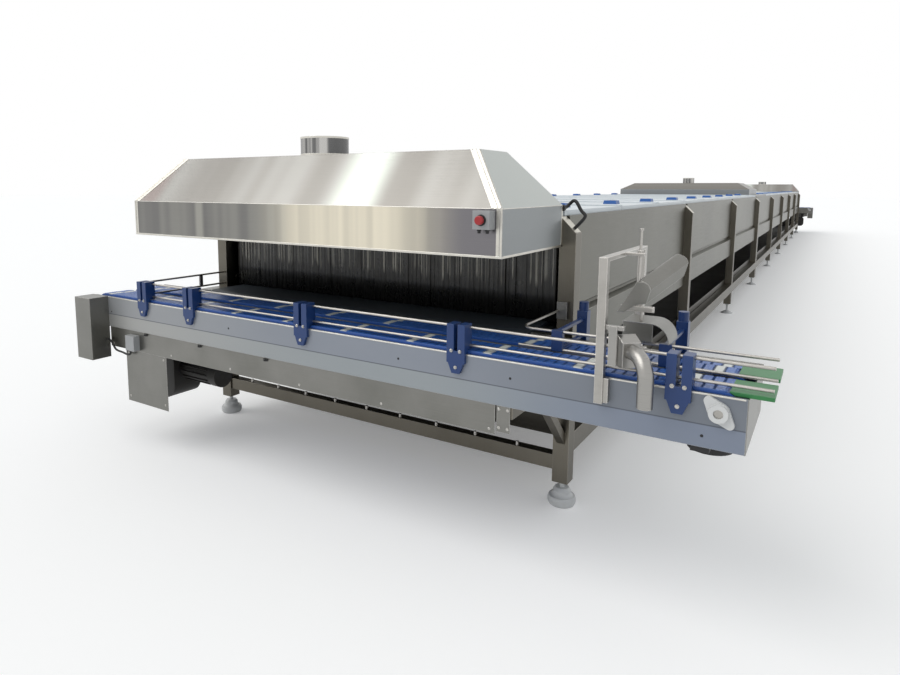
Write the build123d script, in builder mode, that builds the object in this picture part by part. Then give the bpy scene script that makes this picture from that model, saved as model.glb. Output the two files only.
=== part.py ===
from build123d import *
import os

os.makedirs("parts", exist_ok=True)

# Pasteurization tunnel: a long spray tunnel on levelling feet, with a cross conveyor,
# a curtain and an extraction hood at each end and a third hood on the roof.
# Millimetres, +Z up, origin on the floor under the middle of the machine.
# The tunnel runs along Y and the entrance end lies towards -Y.

# Tunnel frame
bay_count = 8
bay_pitch = 3000
joint_bay = 3
joint_gap = 10
tunnel_width = 2500
post_size = 80
post_wall = 4
post_foot_z = 120
sheet = 3
panel_top = 1440
panel_bottom = 740
rail_bottom = 270
rail_height = 100
cross_rail_bottom = 180
cross_rail_height = 75
cross_rail_depth = 60
fit_gap = 0.3

# Derived frame positions
frame_length = bay_count * bay_pitch
front = -(frame_length + post_size) / 2
post_x = (tunnel_width - post_size) / 2
inner_x = tunnel_width / 2 - post_size
post_lines = [front + post_size / 2 + bay_pitch * i for i in range(bay_count + 1)]
joint_line = post_lines[joint_bay]
joint_shift = (post_size + joint_gap) / 2


def add_far_end(piece):
    """Add the copy of a piece turned half round about the middle, for the exit end."""
    add(piece.part.rotate(Axis.Z, 180))


# Posts: square tubes with a capped 45 degree top that falls outwards
post_rows = [y for y in post_lines if y != joint_line]
post_rows += [joint_line - joint_shift, joint_line + joint_shift]
post_rows.sort()
with BuildPart() as posts:
    for y in post_rows:
        with BuildSketch(Plane.XZ.offset(-y)):
            with BuildLine():
                Polyline(
                    (inner_x, post_foot_z),
                    (inner_x + post_size, post_foot_z),
                    (inner_x + post_size, panel_top - post_size),
                    (inner_x, panel_top),
                    close=True,
                )
            make_face()
        extrude(amount=post_size / 2, both=True)
        with BuildSketch(Plane.XZ.offset(-y)):
            with BuildLine():
                Polyline(
                    (inner_x + post_wall, post_foot_z),
                    (inner_x + post_size - post_wall, post_foot_z),
                    (inner_x + post_size - post_wall, panel_top - post_size - post_wall),
                    (inner_x + post_wall, panel_top - 3 * post_wall),
                    close=True,
                )
            make_face()
        extrude(amount=post_size / 2 - post_wall, both=True, mode=Mode.SUBTRACT)
    mirror(about=Plane.YZ)
posts.part.label = "posts"
export_step(posts.part, "parts/posts.step")

# Levelling feet: a pad, a spindle and a square plug inside the tube of the post.
# The end posts stand on moulded domes and the others on flat discs.
pad_radius = 70
pad_edge = 46
dome_neck = 44
dome_top = 88
disc_edge = 8
disc_hub = 26
disc_top = 30
spindle_radius = 12
foot_rows = [y for y in post_rows if y != joint_line + joint_shift]
plug_height = 25
plug_size = post_size - 2 * post_wall - 2 * fit_gap
with BuildPart() as dome_foot:
    with BuildSketch(Plane.XZ):
        with BuildLine():
            Line((0, 0), (pad_radius - 8, 0))
            ThreePointArc((pad_radius - 8, 0), (pad_radius, pad_edge / 2), (pad_radius - 6, pad_edge))
            ThreePointArc((pad_radius - 6, pad_edge), (dome_neck + 4, pad_edge + 8), (dome_neck, dome_top - 14))
            Polyline(
                (dome_neck, dome_top - 14),
                (dome_neck - 10, dome_top),
                (spindle_radius, dome_top),
                (spindle_radius, post_foot_z),
                (0, post_foot_z),
                (0, 0),
            )
        make_face()
    revolve(axis=Axis.Z)
    with BuildSketch(Plane.XY.offset(post_foot_z)):
        Rectangle(plug_size, plug_size)
    extrude(amount=plug_height)
with BuildPart() as disc_foot:
    with BuildSketch(Plane.XZ):
        with BuildLine():
            Polyline(
                (0, 0),
                (pad_radius, 0),
                (pad_radius, disc_edge),
                (disc_hub, disc_top),
                (spindle_radius, disc_top),
                (spindle_radius, post_foot_z),
                (0, post_foot_z),
                close=True,
            )
        make_face()
    revolve(axis=Axis.Z)
    with BuildSketch(Plane.XY.offset(post_foot_z - spindle_radius)):
        RegularPolygon(radius=2 * spindle_radius, side_count=6)
    extrude(amount=spindle_radius)
    with BuildSketch(Plane.XY.offset(post_foot_z)):
        Rectangle(plug_size, plug_size)
    extrude(amount=plug_height)
with BuildPart() as levelling_feet:
    with Locations(*[(side * post_x, y) for y in (post_rows[0], post_rows[-1]) for side in (-1, 1)]):
        add(dome_foot.part)
    with Locations(*[(side * post_x, y) for y in foot_rows[1:-1] for side in (-1, 1)]):
        add(disc_foot.part)
levelling_feet.part.label = "levelling_feet"
export_step(levelling_feet.part, "parts/levelling_feet.step")

# Bottom rails between the posts, one square tube in each bay
bay_spans = []
for i in range(bay_count):
    start = post_lines[i] + post_size / 2 + (joint_shift if i == joint_bay else 0)
    stop = post_lines[i + 1] - post_size / 2 - (joint_shift if i + 1 == joint_bay else 0)
    bay_spans.append((start, stop))
with BuildPart() as bottom_rails:
    for start, stop in bay_spans:
        with BuildSketch(Plane.XZ.offset(-stop)):
            with Locations((post_x, rail_bottom + rail_height / 2)):
                Rectangle(post_size, rail_height)
                Rectangle(post_size - 2 * post_wall, rail_height - 2 * post_wall, mode=Mode.SUBTRACT)
        extrude(amount=stop - start)
    mirror(about=Plane.YZ)
bottom_rails.part.label = "bottom_rails"
export_step(bottom_rails.part, "parts/bottom_rails.step")

# Cross rails from post to post under the sump
with BuildPart() as cross_rails:
    for y in post_rows:
        with BuildSketch(Plane.YZ.offset(-inner_x)):
            with Locations((y, cross_rail_bottom + cross_rail_height / 2)):
                Rectangle(cross_rail_depth, cross_rail_height)
                Rectangle(
                    cross_rail_depth - 2 * post_wall,
                    cross_rail_height - 2 * post_wall,
                    mode=Mode.SUBTRACT,
                )
        extrude(amount=2 * inner_x)
cross_rails.part.label = "cross_rails"
export_step(cross_rails.part, "parts/cross_rails.step")

# Spacer bolts along the top of the first and last cross rail
spacer_radius = 9
spacer_height = 22
spacer_pitch = 243
spacer_count = 9
with BuildPart() as rail_spacer:
    spacer_y = post_rows[0] - cross_rail_depth / 2 + spacer_radius + 3
    with BuildSketch(Plane.XY.offset(cross_rail_bottom + cross_rail_height)):
        with Locations((0, spacer_y)):
            with GridLocations(spacer_pitch, 0, spacer_count, 1):
                RegularPolygon(radius=spacer_radius, side_count=6)
    extrude(amount=spacer_height)
    add_far_end(rail_spacer)
rail_spacer.part.label = "rail_spacers"
export_step(rail_spacer.part, "parts/rail_spacers.step")

# Sump tray on the cross rails, open at the top
sump_setback = 260
sump_depth = 175
sump_clear = 5
sump_base = cross_rail_bottom + cross_rail_height
with BuildPart() as sump_tray:
    with BuildSketch(Plane.XY.offset(sump_base)):
        Rectangle(2 * (inner_x - sump_clear), frame_length + post_size - 2 * sump_setback)
    extrude(amount=sump_depth)
    offset(amount=-sheet, openings=sump_tray.faces().sort_by(Axis.Z)[-1])
sump_tray.part.label = "sump_tray"
export_step(sump_tray.part, "parts/sump_tray.step")

# Side panels: one folded sheet per bay, with a groove and a sloping ledge
panel_face = 1190
groove_top = 985
groove_depth = 18
groove_height = 14
ledge_reach = 22
ledge_drop = 14
flange = 60
ledge_x = panel_face + ledge_reach
groove_x = panel_face - groove_depth
with BuildPart() as side_panels:
    for start, stop in bay_spans:
        with BuildSketch(Plane.XZ.offset(-stop)):
            with BuildLine() as fold:
                Polyline(
                    (panel_face - flange, panel_top),
                    (panel_face, panel_top),
                    (panel_face, groove_top),
                    (groove_x, groove_top - groove_height),
                    (groove_x, groove_top - 2 * groove_height),
                    (ledge_x, groove_top - 2 * groove_height - ledge_drop),
                    (ledge_x, panel_bottom),
                    (ledge_x - flange - ledge_reach, panel_bottom),
                )
                offset(amount=sheet, side=Side.RIGHT)
            make_face()
        extrude(amount=stop - start)
    mirror(about=Plane.YZ)
side_panels.part.label = "side_panels"
export_step(side_panels.part, "parts/side_panels.step")

# Spray water trough on the lower flanges of the side panels
trough_width = 2 * (inner_x - 4)
trough_lip = 30
trough_length = frame_length - post_size - 2 * fit_gap
trough_base = panel_bottom + sheet
with BuildPart() as water_trough:
    with BuildSketch(Plane.XY.offset(trough_base)):
        Rectangle(trough_width, trough_length)
    extrude(amount=trough_lip)
    offset(amount=-sheet, openings=water_trough.faces().sort_by(Axis.Z)[-1])
water_trough.part.label = "water_trough"
export_step(water_trough.part, "parts/water_trough.step")

# Head beams over the two mouths
head_beam_height = 60
head_beam_depth = 60
with BuildPart() as head_beam:
    with BuildSketch(Plane.YZ.offset(-inner_x)):
        with Locations((front + head_beam_depth / 2, panel_top - head_beam_height / 2)):
            Rectangle(head_beam_depth, head_beam_height)
    extrude(amount=2 * inner_x)
    add_far_end(head_beam)
head_beam.part.label = "head_beams"
export_step(head_beam.part, "parts/head_beams.step")

# Main belt: one fixed loop that carries the product through the tunnel
deck_height = 910
belt_thickness = 15
belt_edge_gap = 70
main_belt_width = 2 * (inner_x - belt_edge_gap)
nose_overhang = 230
loop_height = 130
nose_y = front - nose_overhang
loop_radius = loop_height / 2
roller_radius = loop_radius - belt_thickness - fit_gap
roller_y = nose_y + loop_radius
roller_z = deck_height - loop_radius
with BuildPart() as main_belt:
    with BuildSketch(Plane.YZ.offset(-main_belt_width / 2)):
        with Locations((0, roller_z)):
            SlotOverall(-2 * nose_y, loop_height)
            SlotOverall(-2 * nose_y - 2 * belt_thickness, loop_height - 2 * belt_thickness, mode=Mode.SUBTRACT)
    extrude(amount=main_belt_width)
main_belt.part.label = "main_belt"
export_step(main_belt.part, "parts/main_belt.step")

# Nose rollers on stub shafts
shaft_radius = 15
cheek_gap = 8
cheek_thickness = 10
cheek_x = main_belt_width / 2 + cheek_gap
with BuildPart() as nose_roller:
    with Locations((0, roller_y, roller_z)):
        Cylinder(roller_radius, main_belt_width, rotation=(0, 90, 0))
        Cylinder(shaft_radius, 2 * (cheek_x + cheek_thickness), rotation=(0, 90, 0))
    add_far_end(nose_roller)
nose_roller.part.label = "nose_rollers"
export_step(nose_roller.part, "parts/nose_rollers.step")

# Nose cheeks bolted to the inner faces of the end posts
cheek_bottom = trough_base + trough_lip + 5
cheek_top = deck_height - 12
cheek_reach = 24
with BuildPart() as nose_cheeks:
    cheek_plan = [
        (cheek_x, nose_y - cheek_reach / 4),
        (cheek_x + cheek_thickness, nose_y - cheek_reach / 4),
        (cheek_x + cheek_thickness, front),
        (inner_x, front),
        (inner_x, front + post_size),
        (cheek_x, front + post_size),
    ]
    for side in (1, -1):
        with BuildSketch(Plane.XY.offset(cheek_bottom)):
            with BuildLine():
                Polyline(*[(side * x, y) for x, y in cheek_plan], close=True)
            make_face()
        extrude(amount=cheek_top - cheek_bottom)
    with Locations((0, roller_y, roller_z)):
        Cylinder(shaft_radius + fit_gap, 2 * inner_x, rotation=(0, 90, 0), mode=Mode.SUBTRACT)
    add_far_end(nose_cheeks)
nose_cheeks.part.label = "nose_cheeks"
export_step(nose_cheeks.part, "parts/nose_cheeks.step")

# Belt carriers: cross beams from post to post and wear strips along the belt
strip_width = 40
strip_height = 20
strip_count = 7
beam_height = 40
run_underside = deck_height - belt_thickness
return_bottom = deck_height - loop_height
strip_pitch = (main_belt_width - 2 * strip_width) / (strip_count - 1)
strip_length = -2 * roller_y - 2 * (roller_radius + 10)
with BuildPart() as carrier_beams:
    for y in post_lines[1:-1]:
        shift = joint_shift if y == joint_line else 0
        with Locations((0, y + shift, run_underside - strip_height - beam_height / 2)):
            Box(2 * inner_x, post_size - 2 * post_wall, beam_height)
carrier_beams.part.label = "carrier_beams"
export_step(carrier_beams.part, "parts/carrier_beams.step")
with BuildPart() as wear_strips:
    with BuildSketch(Plane.XY.offset(run_underside - strip_height)):
        with GridLocations(strip_pitch, 0, strip_count, 1):
            Rectangle(strip_width, strip_length)
    extrude(amount=strip_height)
    with BuildSketch(Plane.XY.offset(trough_base + sheet)):
        with GridLocations(strip_pitch, 0, strip_count, 1):
            Rectangle(strip_width, trough_length - 2 * post_size)
    extrude(amount=return_bottom - trough_base - sheet)
wear_strips.part.label = "belt_wear_strips"
export_step(wear_strips.part, "parts/belt_wear_strips.step")

# Strip curtains: two staggered rows of hanging strips under each head beam
curtain_width = 2270
curtain_strips = 23
curtain_strip_width = 120
curtain_thickness = 4
curtain_clear = 6
curtain_y = front + head_beam_depth + 10
curtain_pitch = (curtain_width - curtain_strip_width) / (curtain_strips - 1)
curtain_drop = panel_top - deck_height - curtain_clear
hanger_height = 40
with BuildPart() as curtain:
    for i in range(curtain_strips):
        x = -curtain_width / 2 + curtain_strip_width / 2 + i * curtain_pitch
        row = curtain_y + (i % 2) * (curtain_thickness + fit_gap)
        with Locations((x, row, panel_top - curtain_drop / 2)):
            Box(curtain_strip_width, curtain_thickness, curtain_drop)
    add_far_end(curtain)
curtain.part.label = "strip_curtains"
export_step(curtain.part, "parts/strip_curtains.step")
with BuildPart() as curtain_rail:
    rail_from = front + head_beam_depth
    strip_front = curtain_y - curtain_thickness / 2
    with Locations((0, (rail_from + strip_front) / 2, panel_top - hanger_height / 2)):
        Box(2 * inner_x, strip_front - rail_from, hanger_height)
    add_far_end(curtain_rail)
curtain_rail.part.label = "curtain_rails"
export_step(curtain_rail.part, "parts/curtain_rails.step")

# Roof covers: shallow lids, one per metre, resting on the flanges of the side panels
cover_pitch = 1000
cover_gap = 6
cover_setback = 15
cover_width = 2 * (panel_face - cover_setback)
cover_height = 25
cover_count = round(frame_length / cover_pitch)
hood_first_cover = 9
hood_cover_count = 2
cover_rows = [
    -frame_length / 2 + cover_pitch * (i + 0.5)
    for i in range(cover_count)
    if not hood_first_cover <= i < hood_first_cover + hood_cover_count
]
with BuildPart() as roof_covers:
    for y in cover_rows:
        with BuildSketch(Plane.XY.offset(panel_top)):
            with Locations((0, y)):
                Rectangle(cover_width, cover_pitch - cover_gap)
        extrude(amount=cover_height)
        with BuildSketch(Plane.XY.offset(panel_top)):
            with Locations((0, y)):
                Rectangle(cover_width - 2 * sheet, cover_pitch - cover_gap - 2 * sheet)
        extrude(amount=cover_height - sheet, mode=Mode.SUBTRACT)
roof_covers.part.label = "roof_covers"
export_step(roof_covers.part, "parts/roof_covers.step")

# Square handles near both edges of every cover
handle_size = 90
handle_height = 24
handle_x = 970
cover_top = panel_top + cover_height
with BuildPart() as cover_handles:
    with BuildSketch(Plane.XY.offset(cover_top)):
        with Locations(*[(side * handle_x, y) for y in cover_rows for side in (-1, 1)]):
            Rectangle(handle_size, handle_size)
    extrude(amount=handle_height, taper=12)
cover_handles.part.label = "cover_handles"
export_step(cover_handles.part, "parts/cover_handles.step")

# End hood: upright skirt, hipped roof and a round flue
hood_width = 2360
hood_depth = 660
hood_bottom = 1295
hood_shoulder = 1492
hood_top = 1735
hood_top_width = 1954
hood_top_depth = 266
hood_top_back = 194
hood_sheet = 3
flue_radius = 125
flue_top = 1830
hood_y = front - hood_depth / 2
hood_top_y = front - hood_top_back - hood_top_depth / 2
with BuildPart() as end_hood:
    with BuildSketch(Plane.XY.offset(hood_bottom)):
        with Locations((0, hood_y)):
            Rectangle(hood_width, hood_depth)
    extrude(amount=hood_shoulder - hood_bottom)
    with BuildSketch(Plane.XY.offset(hood_shoulder)):
        with Locations((0, hood_y)):
            Rectangle(hood_width, hood_depth)
    with BuildSketch(Plane.XY.offset(hood_top)):
        with Locations((0, hood_top_y)):
            Rectangle(hood_top_width, hood_top_depth)
    loft()
    offset(amount=-hood_sheet, openings=end_hood.faces().sort_by(Axis.Z)[0])
    with Locations((0, hood_top_y, hood_top)):
        Cylinder(flue_radius - hood_sheet, 60, mode=Mode.SUBTRACT)
    add_far_end(end_hood)
end_hood.part.label = "end_hoods"
export_step(end_hood.part, "parts/end_hoods.step")
with BuildPart() as end_flue:
    with BuildSketch(Plane.XY.offset(hood_top)):
        with Locations((0, hood_top_y)):
            Circle(flue_radius)
            Circle(flue_radius - hood_sheet, mode=Mode.SUBTRACT)
    extrude(amount=flue_top - hood_top)
    add_far_end(end_flue)
end_flue.part.label = "end_flues"
export_step(end_flue.part, "parts/end_flues.step")

# Middle hood on its curb plate
mid_width = 2120
mid_depth = 1200
mid_shoulder = 1560
mid_top = 1670
mid_top_width = 1720
mid_top_depth = 800
mid_flue_radius = 95
mid_flue_top = 1765
curb_y = -frame_length / 2 + cover_pitch * (hood_first_cover + hood_cover_count / 2)
mid_shift = -190
mid_y = curb_y + mid_shift
curb_length = cover_pitch * hood_cover_count - cover_gap
with BuildPart() as hood_curb:
    with BuildSketch(Plane.XY.offset(panel_top)):
        with Locations((0, curb_y)):
            Rectangle(cover_width, curb_length)
        with Locations((0, mid_y)):
            Rectangle(mid_width - 4 * sheet, mid_depth - 4 * sheet, mode=Mode.SUBTRACT)
    extrude(amount=cover_height)
hood_curb.part.label = "middle_hood_curb"
export_step(hood_curb.part, "parts/middle_hood_curb.step")
with BuildPart() as middle_hood:
    with BuildSketch(Plane.XY.offset(cover_top)):
        with Locations((0, mid_y)):
            Rectangle(mid_width, mid_depth)
    extrude(amount=mid_shoulder - cover_top)
    with BuildSketch(Plane.XY.offset(mid_shoulder)):
        with Locations((0, mid_y)):
            Rectangle(mid_width, mid_depth)
    with BuildSketch(Plane.XY.offset(mid_top)):
        with Locations((0, mid_y)):
            Rectangle(mid_top_width, mid_top_depth)
    loft()
    offset(amount=-hood_sheet, openings=middle_hood.faces().sort_by(Axis.Z)[0])
    with Locations((0, mid_y, mid_top)):
        Cylinder(mid_flue_radius - hood_sheet, 60, mode=Mode.SUBTRACT)
middle_hood.part.label = "middle_hood"
export_step(middle_hood.part, "parts/middle_hood.step")
with BuildPart() as middle_flue:
    with BuildSketch(Plane.XY.offset(mid_top)):
        with Locations((0, mid_y)):
            Circle(mid_flue_radius)
            Circle(mid_flue_radius - hood_sheet, mode=Mode.SUBTRACT)
    extrude(amount=mid_flue_top - mid_top)
middle_flue.part.label = "middle_flue"
export_step(middle_flue.part, "parts/middle_flue.step")

# Cross conveyor frame: two folded plates closed by end plates
conveyor_left = -1640
conveyor_right = 2064
conveyor_front = front - 665
conveyor_back = front - 147
plate_bottom = 705
plate_top = 894
plate_flange = 40
hem = 12
notch_half_width = inner_x - 10
notch_top = plate_bottom + 55
belt_clear = 17
conveyor_length = conveyor_right - conveyor_left
conveyor_mid = (conveyor_right + conveyor_left) / 2
drive_x = -1555
idler_x = 1979
lane_deck = 905
lane_radius = 68
lane_thickness = 12
lane_z = lane_deck - lane_radius
bearing_bore = 15
with BuildPart() as front_plate:
    with BuildSketch(Plane.YZ.offset(conveyor_left)):
        with BuildLine():
            Polyline(
                (conveyor_front + hem, plate_top),
                (conveyor_front, plate_top),
                (conveyor_front, plate_bottom),
                (conveyor_front + plate_flange, plate_bottom),
            )
            offset(amount=sheet, side=Side.LEFT)
        make_face()
    extrude(amount=conveyor_length - sheet)
    with Locations((drive_x, conveyor_front, lane_z), (idler_x, conveyor_front, lane_z)):
        Cylinder(bearing_bore + 2, 4 * sheet, rotation=(90, 0, 0), mode=Mode.SUBTRACT)
    add_far_end(front_plate)
front_plate.part.label = "front_plates"
export_step(front_plate.part, "parts/front_plates.step")
with BuildPart() as rear_plate:
    with BuildSketch(Plane.YZ.offset(conveyor_left)):
        with BuildLine():
            Polyline(
                (conveyor_back - hem, plate_top),
                (conveyor_back, plate_top),
                (conveyor_back, plate_bottom),
                (conveyor_back - plate_flange, plate_bottom),
            )
            offset(amount=sheet, side=Side.RIGHT)
        make_face()
    extrude(amount=conveyor_length - sheet)
    with BuildSketch(Plane.XZ.offset(-conveyor_back)):
        with Locations((0, (plate_top + notch_top) / 2)):
            Rectangle(2 * notch_half_width, plate_top - notch_top)
    extrude(amount=2 * hem, both=True, mode=Mode.SUBTRACT)
    with Locations((drive_x, conveyor_back, lane_z), (idler_x, conveyor_back, lane_z)):
        Cylinder(bearing_bore + 2, 4 * sheet, rotation=(90, 0, 0), mode=Mode.SUBTRACT)
    add_far_end(rear_plate)
rear_plate.part.label = "rear_plates"
export_step(rear_plate.part, "parts/rear_plates.step")
with BuildPart() as end_plate:
    with Locations((conveyor_right - sheet / 2, (conveyor_front + conveyor_back) / 2, (plate_top + plate_bottom) / 2)):
        Box(sheet, conveyor_back - conveyor_front, plate_top - plate_bottom)
    add_far_end(end_plate)
end_plate.part.label = "end_plates"
export_step(end_plate.part, "parts/end_plates.step")

# Lane belts: two fixed loops side by side
lane_width = 170
front_lane_y = conveyor_front + 15 + lane_width / 2
rear_lane_y = front - 236 - lane_width / 2
lane_span = idler_x - drive_x
lane_ys = (front_lane_y, rear_lane_y)
with BuildPart() as lane_belts:
    for y in lane_ys:
        with BuildSketch(Plane.XZ.offset(-y)):
            with Locations(((drive_x + idler_x) / 2, lane_z)):
                SlotCenterToCenter(lane_span, 2 * lane_radius)
                SlotCenterToCenter(lane_span, 2 * (lane_radius - lane_thickness), mode=Mode.SUBTRACT)
        extrude(amount=lane_width / 2, both=True)
    add_far_end(lane_belts)
lane_belts.part.label = "lane_belts"
export_step(lane_belts.part, "parts/lane_belts.step")

# Shafts with their drums, running in flange bearings
drum_radius = lane_radius - lane_thickness - fit_gap
drum_width = lane_width - 30
shaft_out = 24
with BuildPart() as lane_shafts:
    for x in (drive_x, idler_x):
        for y in lane_ys:
            with Locations((x, y, lane_z)):
                Cylinder(drum_radius, drum_width, rotation=(90, 0, 0))
        with Locations((x, (conveyor_front + conveyor_back) / 2, lane_z)):
            Cylinder(bearing_bore, conveyor_back - conveyor_front + 2 * shaft_out, rotation=(90, 0, 0))
    add_far_end(lane_shafts)
lane_shafts.part.label = "lane_shafts"
export_step(lane_shafts.part, "parts/lane_shafts.step")

# Oval two-bolt flange bearings, turned 47 degrees on the plates
bolt_spacing = 99
bearing_turn = -47.4
bearing_flange = 13
bearing_boss = 30
bearing_ear = 15
bearing_body = 34
with BuildPart() as flange_bearings:
    outer_face = Plane.XZ.offset(-conveyor_front)
    inner_face = Plane(origin=(0, conveyor_back, 0), x_dir=(-1, 0, 0), z_dir=(0, 1, 0))
    bearing_places = [(outer_face, idler_x), (inner_face, -idler_x), (inner_face, -drive_x)]
    for face, across in bearing_places:
        with BuildSketch(face):
            with Locations(Location((across, lane_z), bearing_turn)):
                with Locations((-bolt_spacing / 2, 0), (bolt_spacing / 2, 0)):
                    Circle(bearing_ear)
                Circle(bearing_body)
                make_hull()
        extrude(amount=bearing_flange)
        with BuildSketch(face):
            with Locations((across, lane_z)):
                Circle(bearing_body - 3)
        extrude(amount=bearing_boss)
        with BuildSketch(face):
            with Locations((across, lane_z)):
                Circle(bearing_bore + fit_gap)
        extrude(amount=bearing_boss, mode=Mode.SUBTRACT)
    add_far_end(flange_bearings)
flange_bearings.part.label = "flange_bearings"
export_step(flange_bearings.part, "parts/flange_bearings.step")

# Belt carriers of the cross conveyor: a foot beam on the flanges, a stem between the lanes
# and an arm inside the loops with a wear strip on each side
carrier_xs = [-1300, -780, -260, 260, 780, 1300, 1760]
carrier_width = 40
stem_y = (front_lane_y + rear_lane_y) / 2
stem_depth = rear_lane_y - front_lane_y - lane_width - 16
arm_top = lane_deck - lane_thickness - 15
arm_height = 30
foot_top = lane_z - lane_radius - 8
with BuildPart() as lane_carriers:
    for x in carrier_xs:
        with BuildSketch(Plane.YZ.offset(x - carrier_width / 2)):
            foot_from = conveyor_front + sheet
            foot_to = conveyor_back - sheet
            with Locations(((foot_from + foot_to) / 2, (plate_bottom + sheet + foot_top) / 2)):
                Rectangle(foot_to - foot_from, foot_top - plate_bottom - sheet)
            with Locations((stem_y, (foot_top + arm_top) / 2)):
                Rectangle(stem_depth, arm_top - foot_top)
            with Locations((stem_y, arm_top - arm_height / 2)):
                Rectangle(rear_lane_y - front_lane_y + lane_width - 40, arm_height)
        extrude(amount=carrier_width)
    add_far_end(lane_carriers)
lane_carriers.part.label = "lane_carriers"
export_step(lane_carriers.part, "parts/lane_carriers.step")
slide_height = lane_deck - lane_thickness - arm_top
slide_width = 20
slide_length = idler_x - drive_x - 2 * (drum_radius + 12)
with BuildPart() as lane_slides:
    for y in lane_ys:
        for side in (-1, 1):
            with Locations(((drive_x + idler_x) / 2, y + side * lane_width / 4, arm_top + slide_height / 2)):
                Box(slide_length, slide_width, slide_height)
    add_far_end(lane_slides)
lane_slides.part.label = "lane_slides"
export_step(lane_slides.part, "parts/lane_slides.step")

# Transfer noses past the end of each lane, hollowed to clear the belt as it turns down
nose_from = 2004
nose_to = 2134
nose_thickness = 26
nose_rise = 3
with BuildPart() as transfer_noses:
    for y in lane_ys:
        with BuildSketch(Plane.XZ.offset(-y)):
            with Locations(((nose_from + nose_to) / 2, plate_top + nose_thickness / 2)):
                Rectangle(nose_to - nose_from, nose_thickness)
            with Locations((idler_x, lane_z)):
                Circle(lane_radius + 2, mode=Mode.SUBTRACT)
        extrude(amount=lane_width / 2 - 5, both=True)
    split(bisect_by=Plane.XY.offset(lane_deck + nose_rise), keep=Keep.BOTTOM)
    add_far_end(transfer_noses)
transfer_noses.part.label = "transfer_noses"
export_step(transfer_noses.part, "parts/transfer_noses.step")

# Guide rods over the lanes
rod_radius = 6
front_rod_y = conveyor_front + 35
rear_rod_y = front - 450
upper_rod_z = 1000
lower_rod_z = 925
rod_right = 2130
rod_left = -1195
guard_x = 1170
bend_radius = 60
rear_drop = 12
with BuildPart() as guide_rods:
    for z in (upper_rod_z, lower_rod_z):
        with BuildLine() as front_route:
            FilletPolyline(
                (rod_right, front_rod_y, z),
                (rod_left, front_rod_y, z),
                (rod_left, front, z),
                radius=20,
            )
        with BuildSketch(Plane(front_route.line @ 0, z_dir=front_route.line % 0)):
            Circle(rod_radius)
        sweep()
    with BuildLine() as rear_route:
        FilletPolyline(
            (rod_right, rear_rod_y, upper_rod_z - rear_drop),
            (guard_x + 10, rear_rod_y, upper_rod_z - rear_drop),
            (guard_x + 10, front, upper_rod_z - rear_drop),
            radius=bend_radius,
        )
    with BuildSketch(Plane(rear_route.line @ 0, z_dir=rear_route.line % 0)):
        Circle(rod_radius)
    sweep()
    with Locations(((rod_right + guard_x) / 2, rear_rod_y, lower_rod_z - rear_drop)):
        Cylinder(rod_radius, rod_right - guard_x, rotation=(0, 90, 0))
    with Locations((rod_left, front - 195, (upper_rod_z + lower_rod_z) / 2)):
        Box(10, 24, upper_rod_z - lower_rod_z)
    add_far_end(guide_rods)
guide_rods.part.label = "guide_rods"
export_step(guide_rods.part, "parts/guide_rods.step")

# Front rod brackets: a tapered shield on the plate and a clamp that grips both rods
bracket_xs = [-1130, -710, 130, 990, 1850]
shield_width = 84
shield_depth = 16
shield_bottom = 810
shield_top = 1010
shield_tip = 36
clamp_width = 26
clamp_spread = 44
with BuildPart() as front_brackets:
    for x in bracket_xs:
        with BuildSketch(Plane.XZ.offset(-conveyor_front)):
            with BuildLine():
                Polyline(
                    (x - shield_tip / 2, shield_bottom),
                    (x + shield_tip / 2, shield_bottom),
                    (x + shield_width / 2, shield_bottom + 60),
                    (x + shield_width / 2, shield_top - 90),
                    (x - shield_width / 2, shield_top - 90),
                    (x - shield_width / 2, shield_bottom + 60),
                    close=True,
                )
            make_face()
        extrude(amount=shield_depth)
        with BuildSketch(Plane.YZ.offset(x)):
            with BuildLine():
                Polyline(
                    (conveyor_front - shield_depth, plate_top - 40),
                    (conveyor_front, plate_top - 40),
                    (conveyor_front, plate_top),
                    (conveyor_front + hem, plate_top),
                    (conveyor_front + hem, lane_deck + 6),
                    (front_rod_y + 12, lane_deck + 6),
                    (front_rod_y + 12, shield_top + 6),
                    (conveyor_front - shield_depth, shield_top + 6),
                    close=True,
                )
            make_face()
        extrude(amount=shield_width / 2, both=True)
        with BuildSketch(Plane.XY.offset(lower_rod_z - 20)):
            with Locations((x, (conveyor_front + front_rod_y) / 2)):
                Rectangle(clamp_spread - clamp_width, front_rod_y - conveyor_front + 80)
        extrude(amount=200, mode=Mode.SUBTRACT)
    for z in (upper_rod_z, lower_rod_z):
        with Locations(((rod_left + rod_right) / 2, front_rod_y, z)):
            Cylinder(rod_radius + fit_gap, 4000, rotation=(0, 90, 0), mode=Mode.SUBTRACT)
    add_far_end(front_brackets)
front_brackets.part.label = "front_brackets"
export_step(front_brackets.part, "parts/front_brackets.step")

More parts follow.
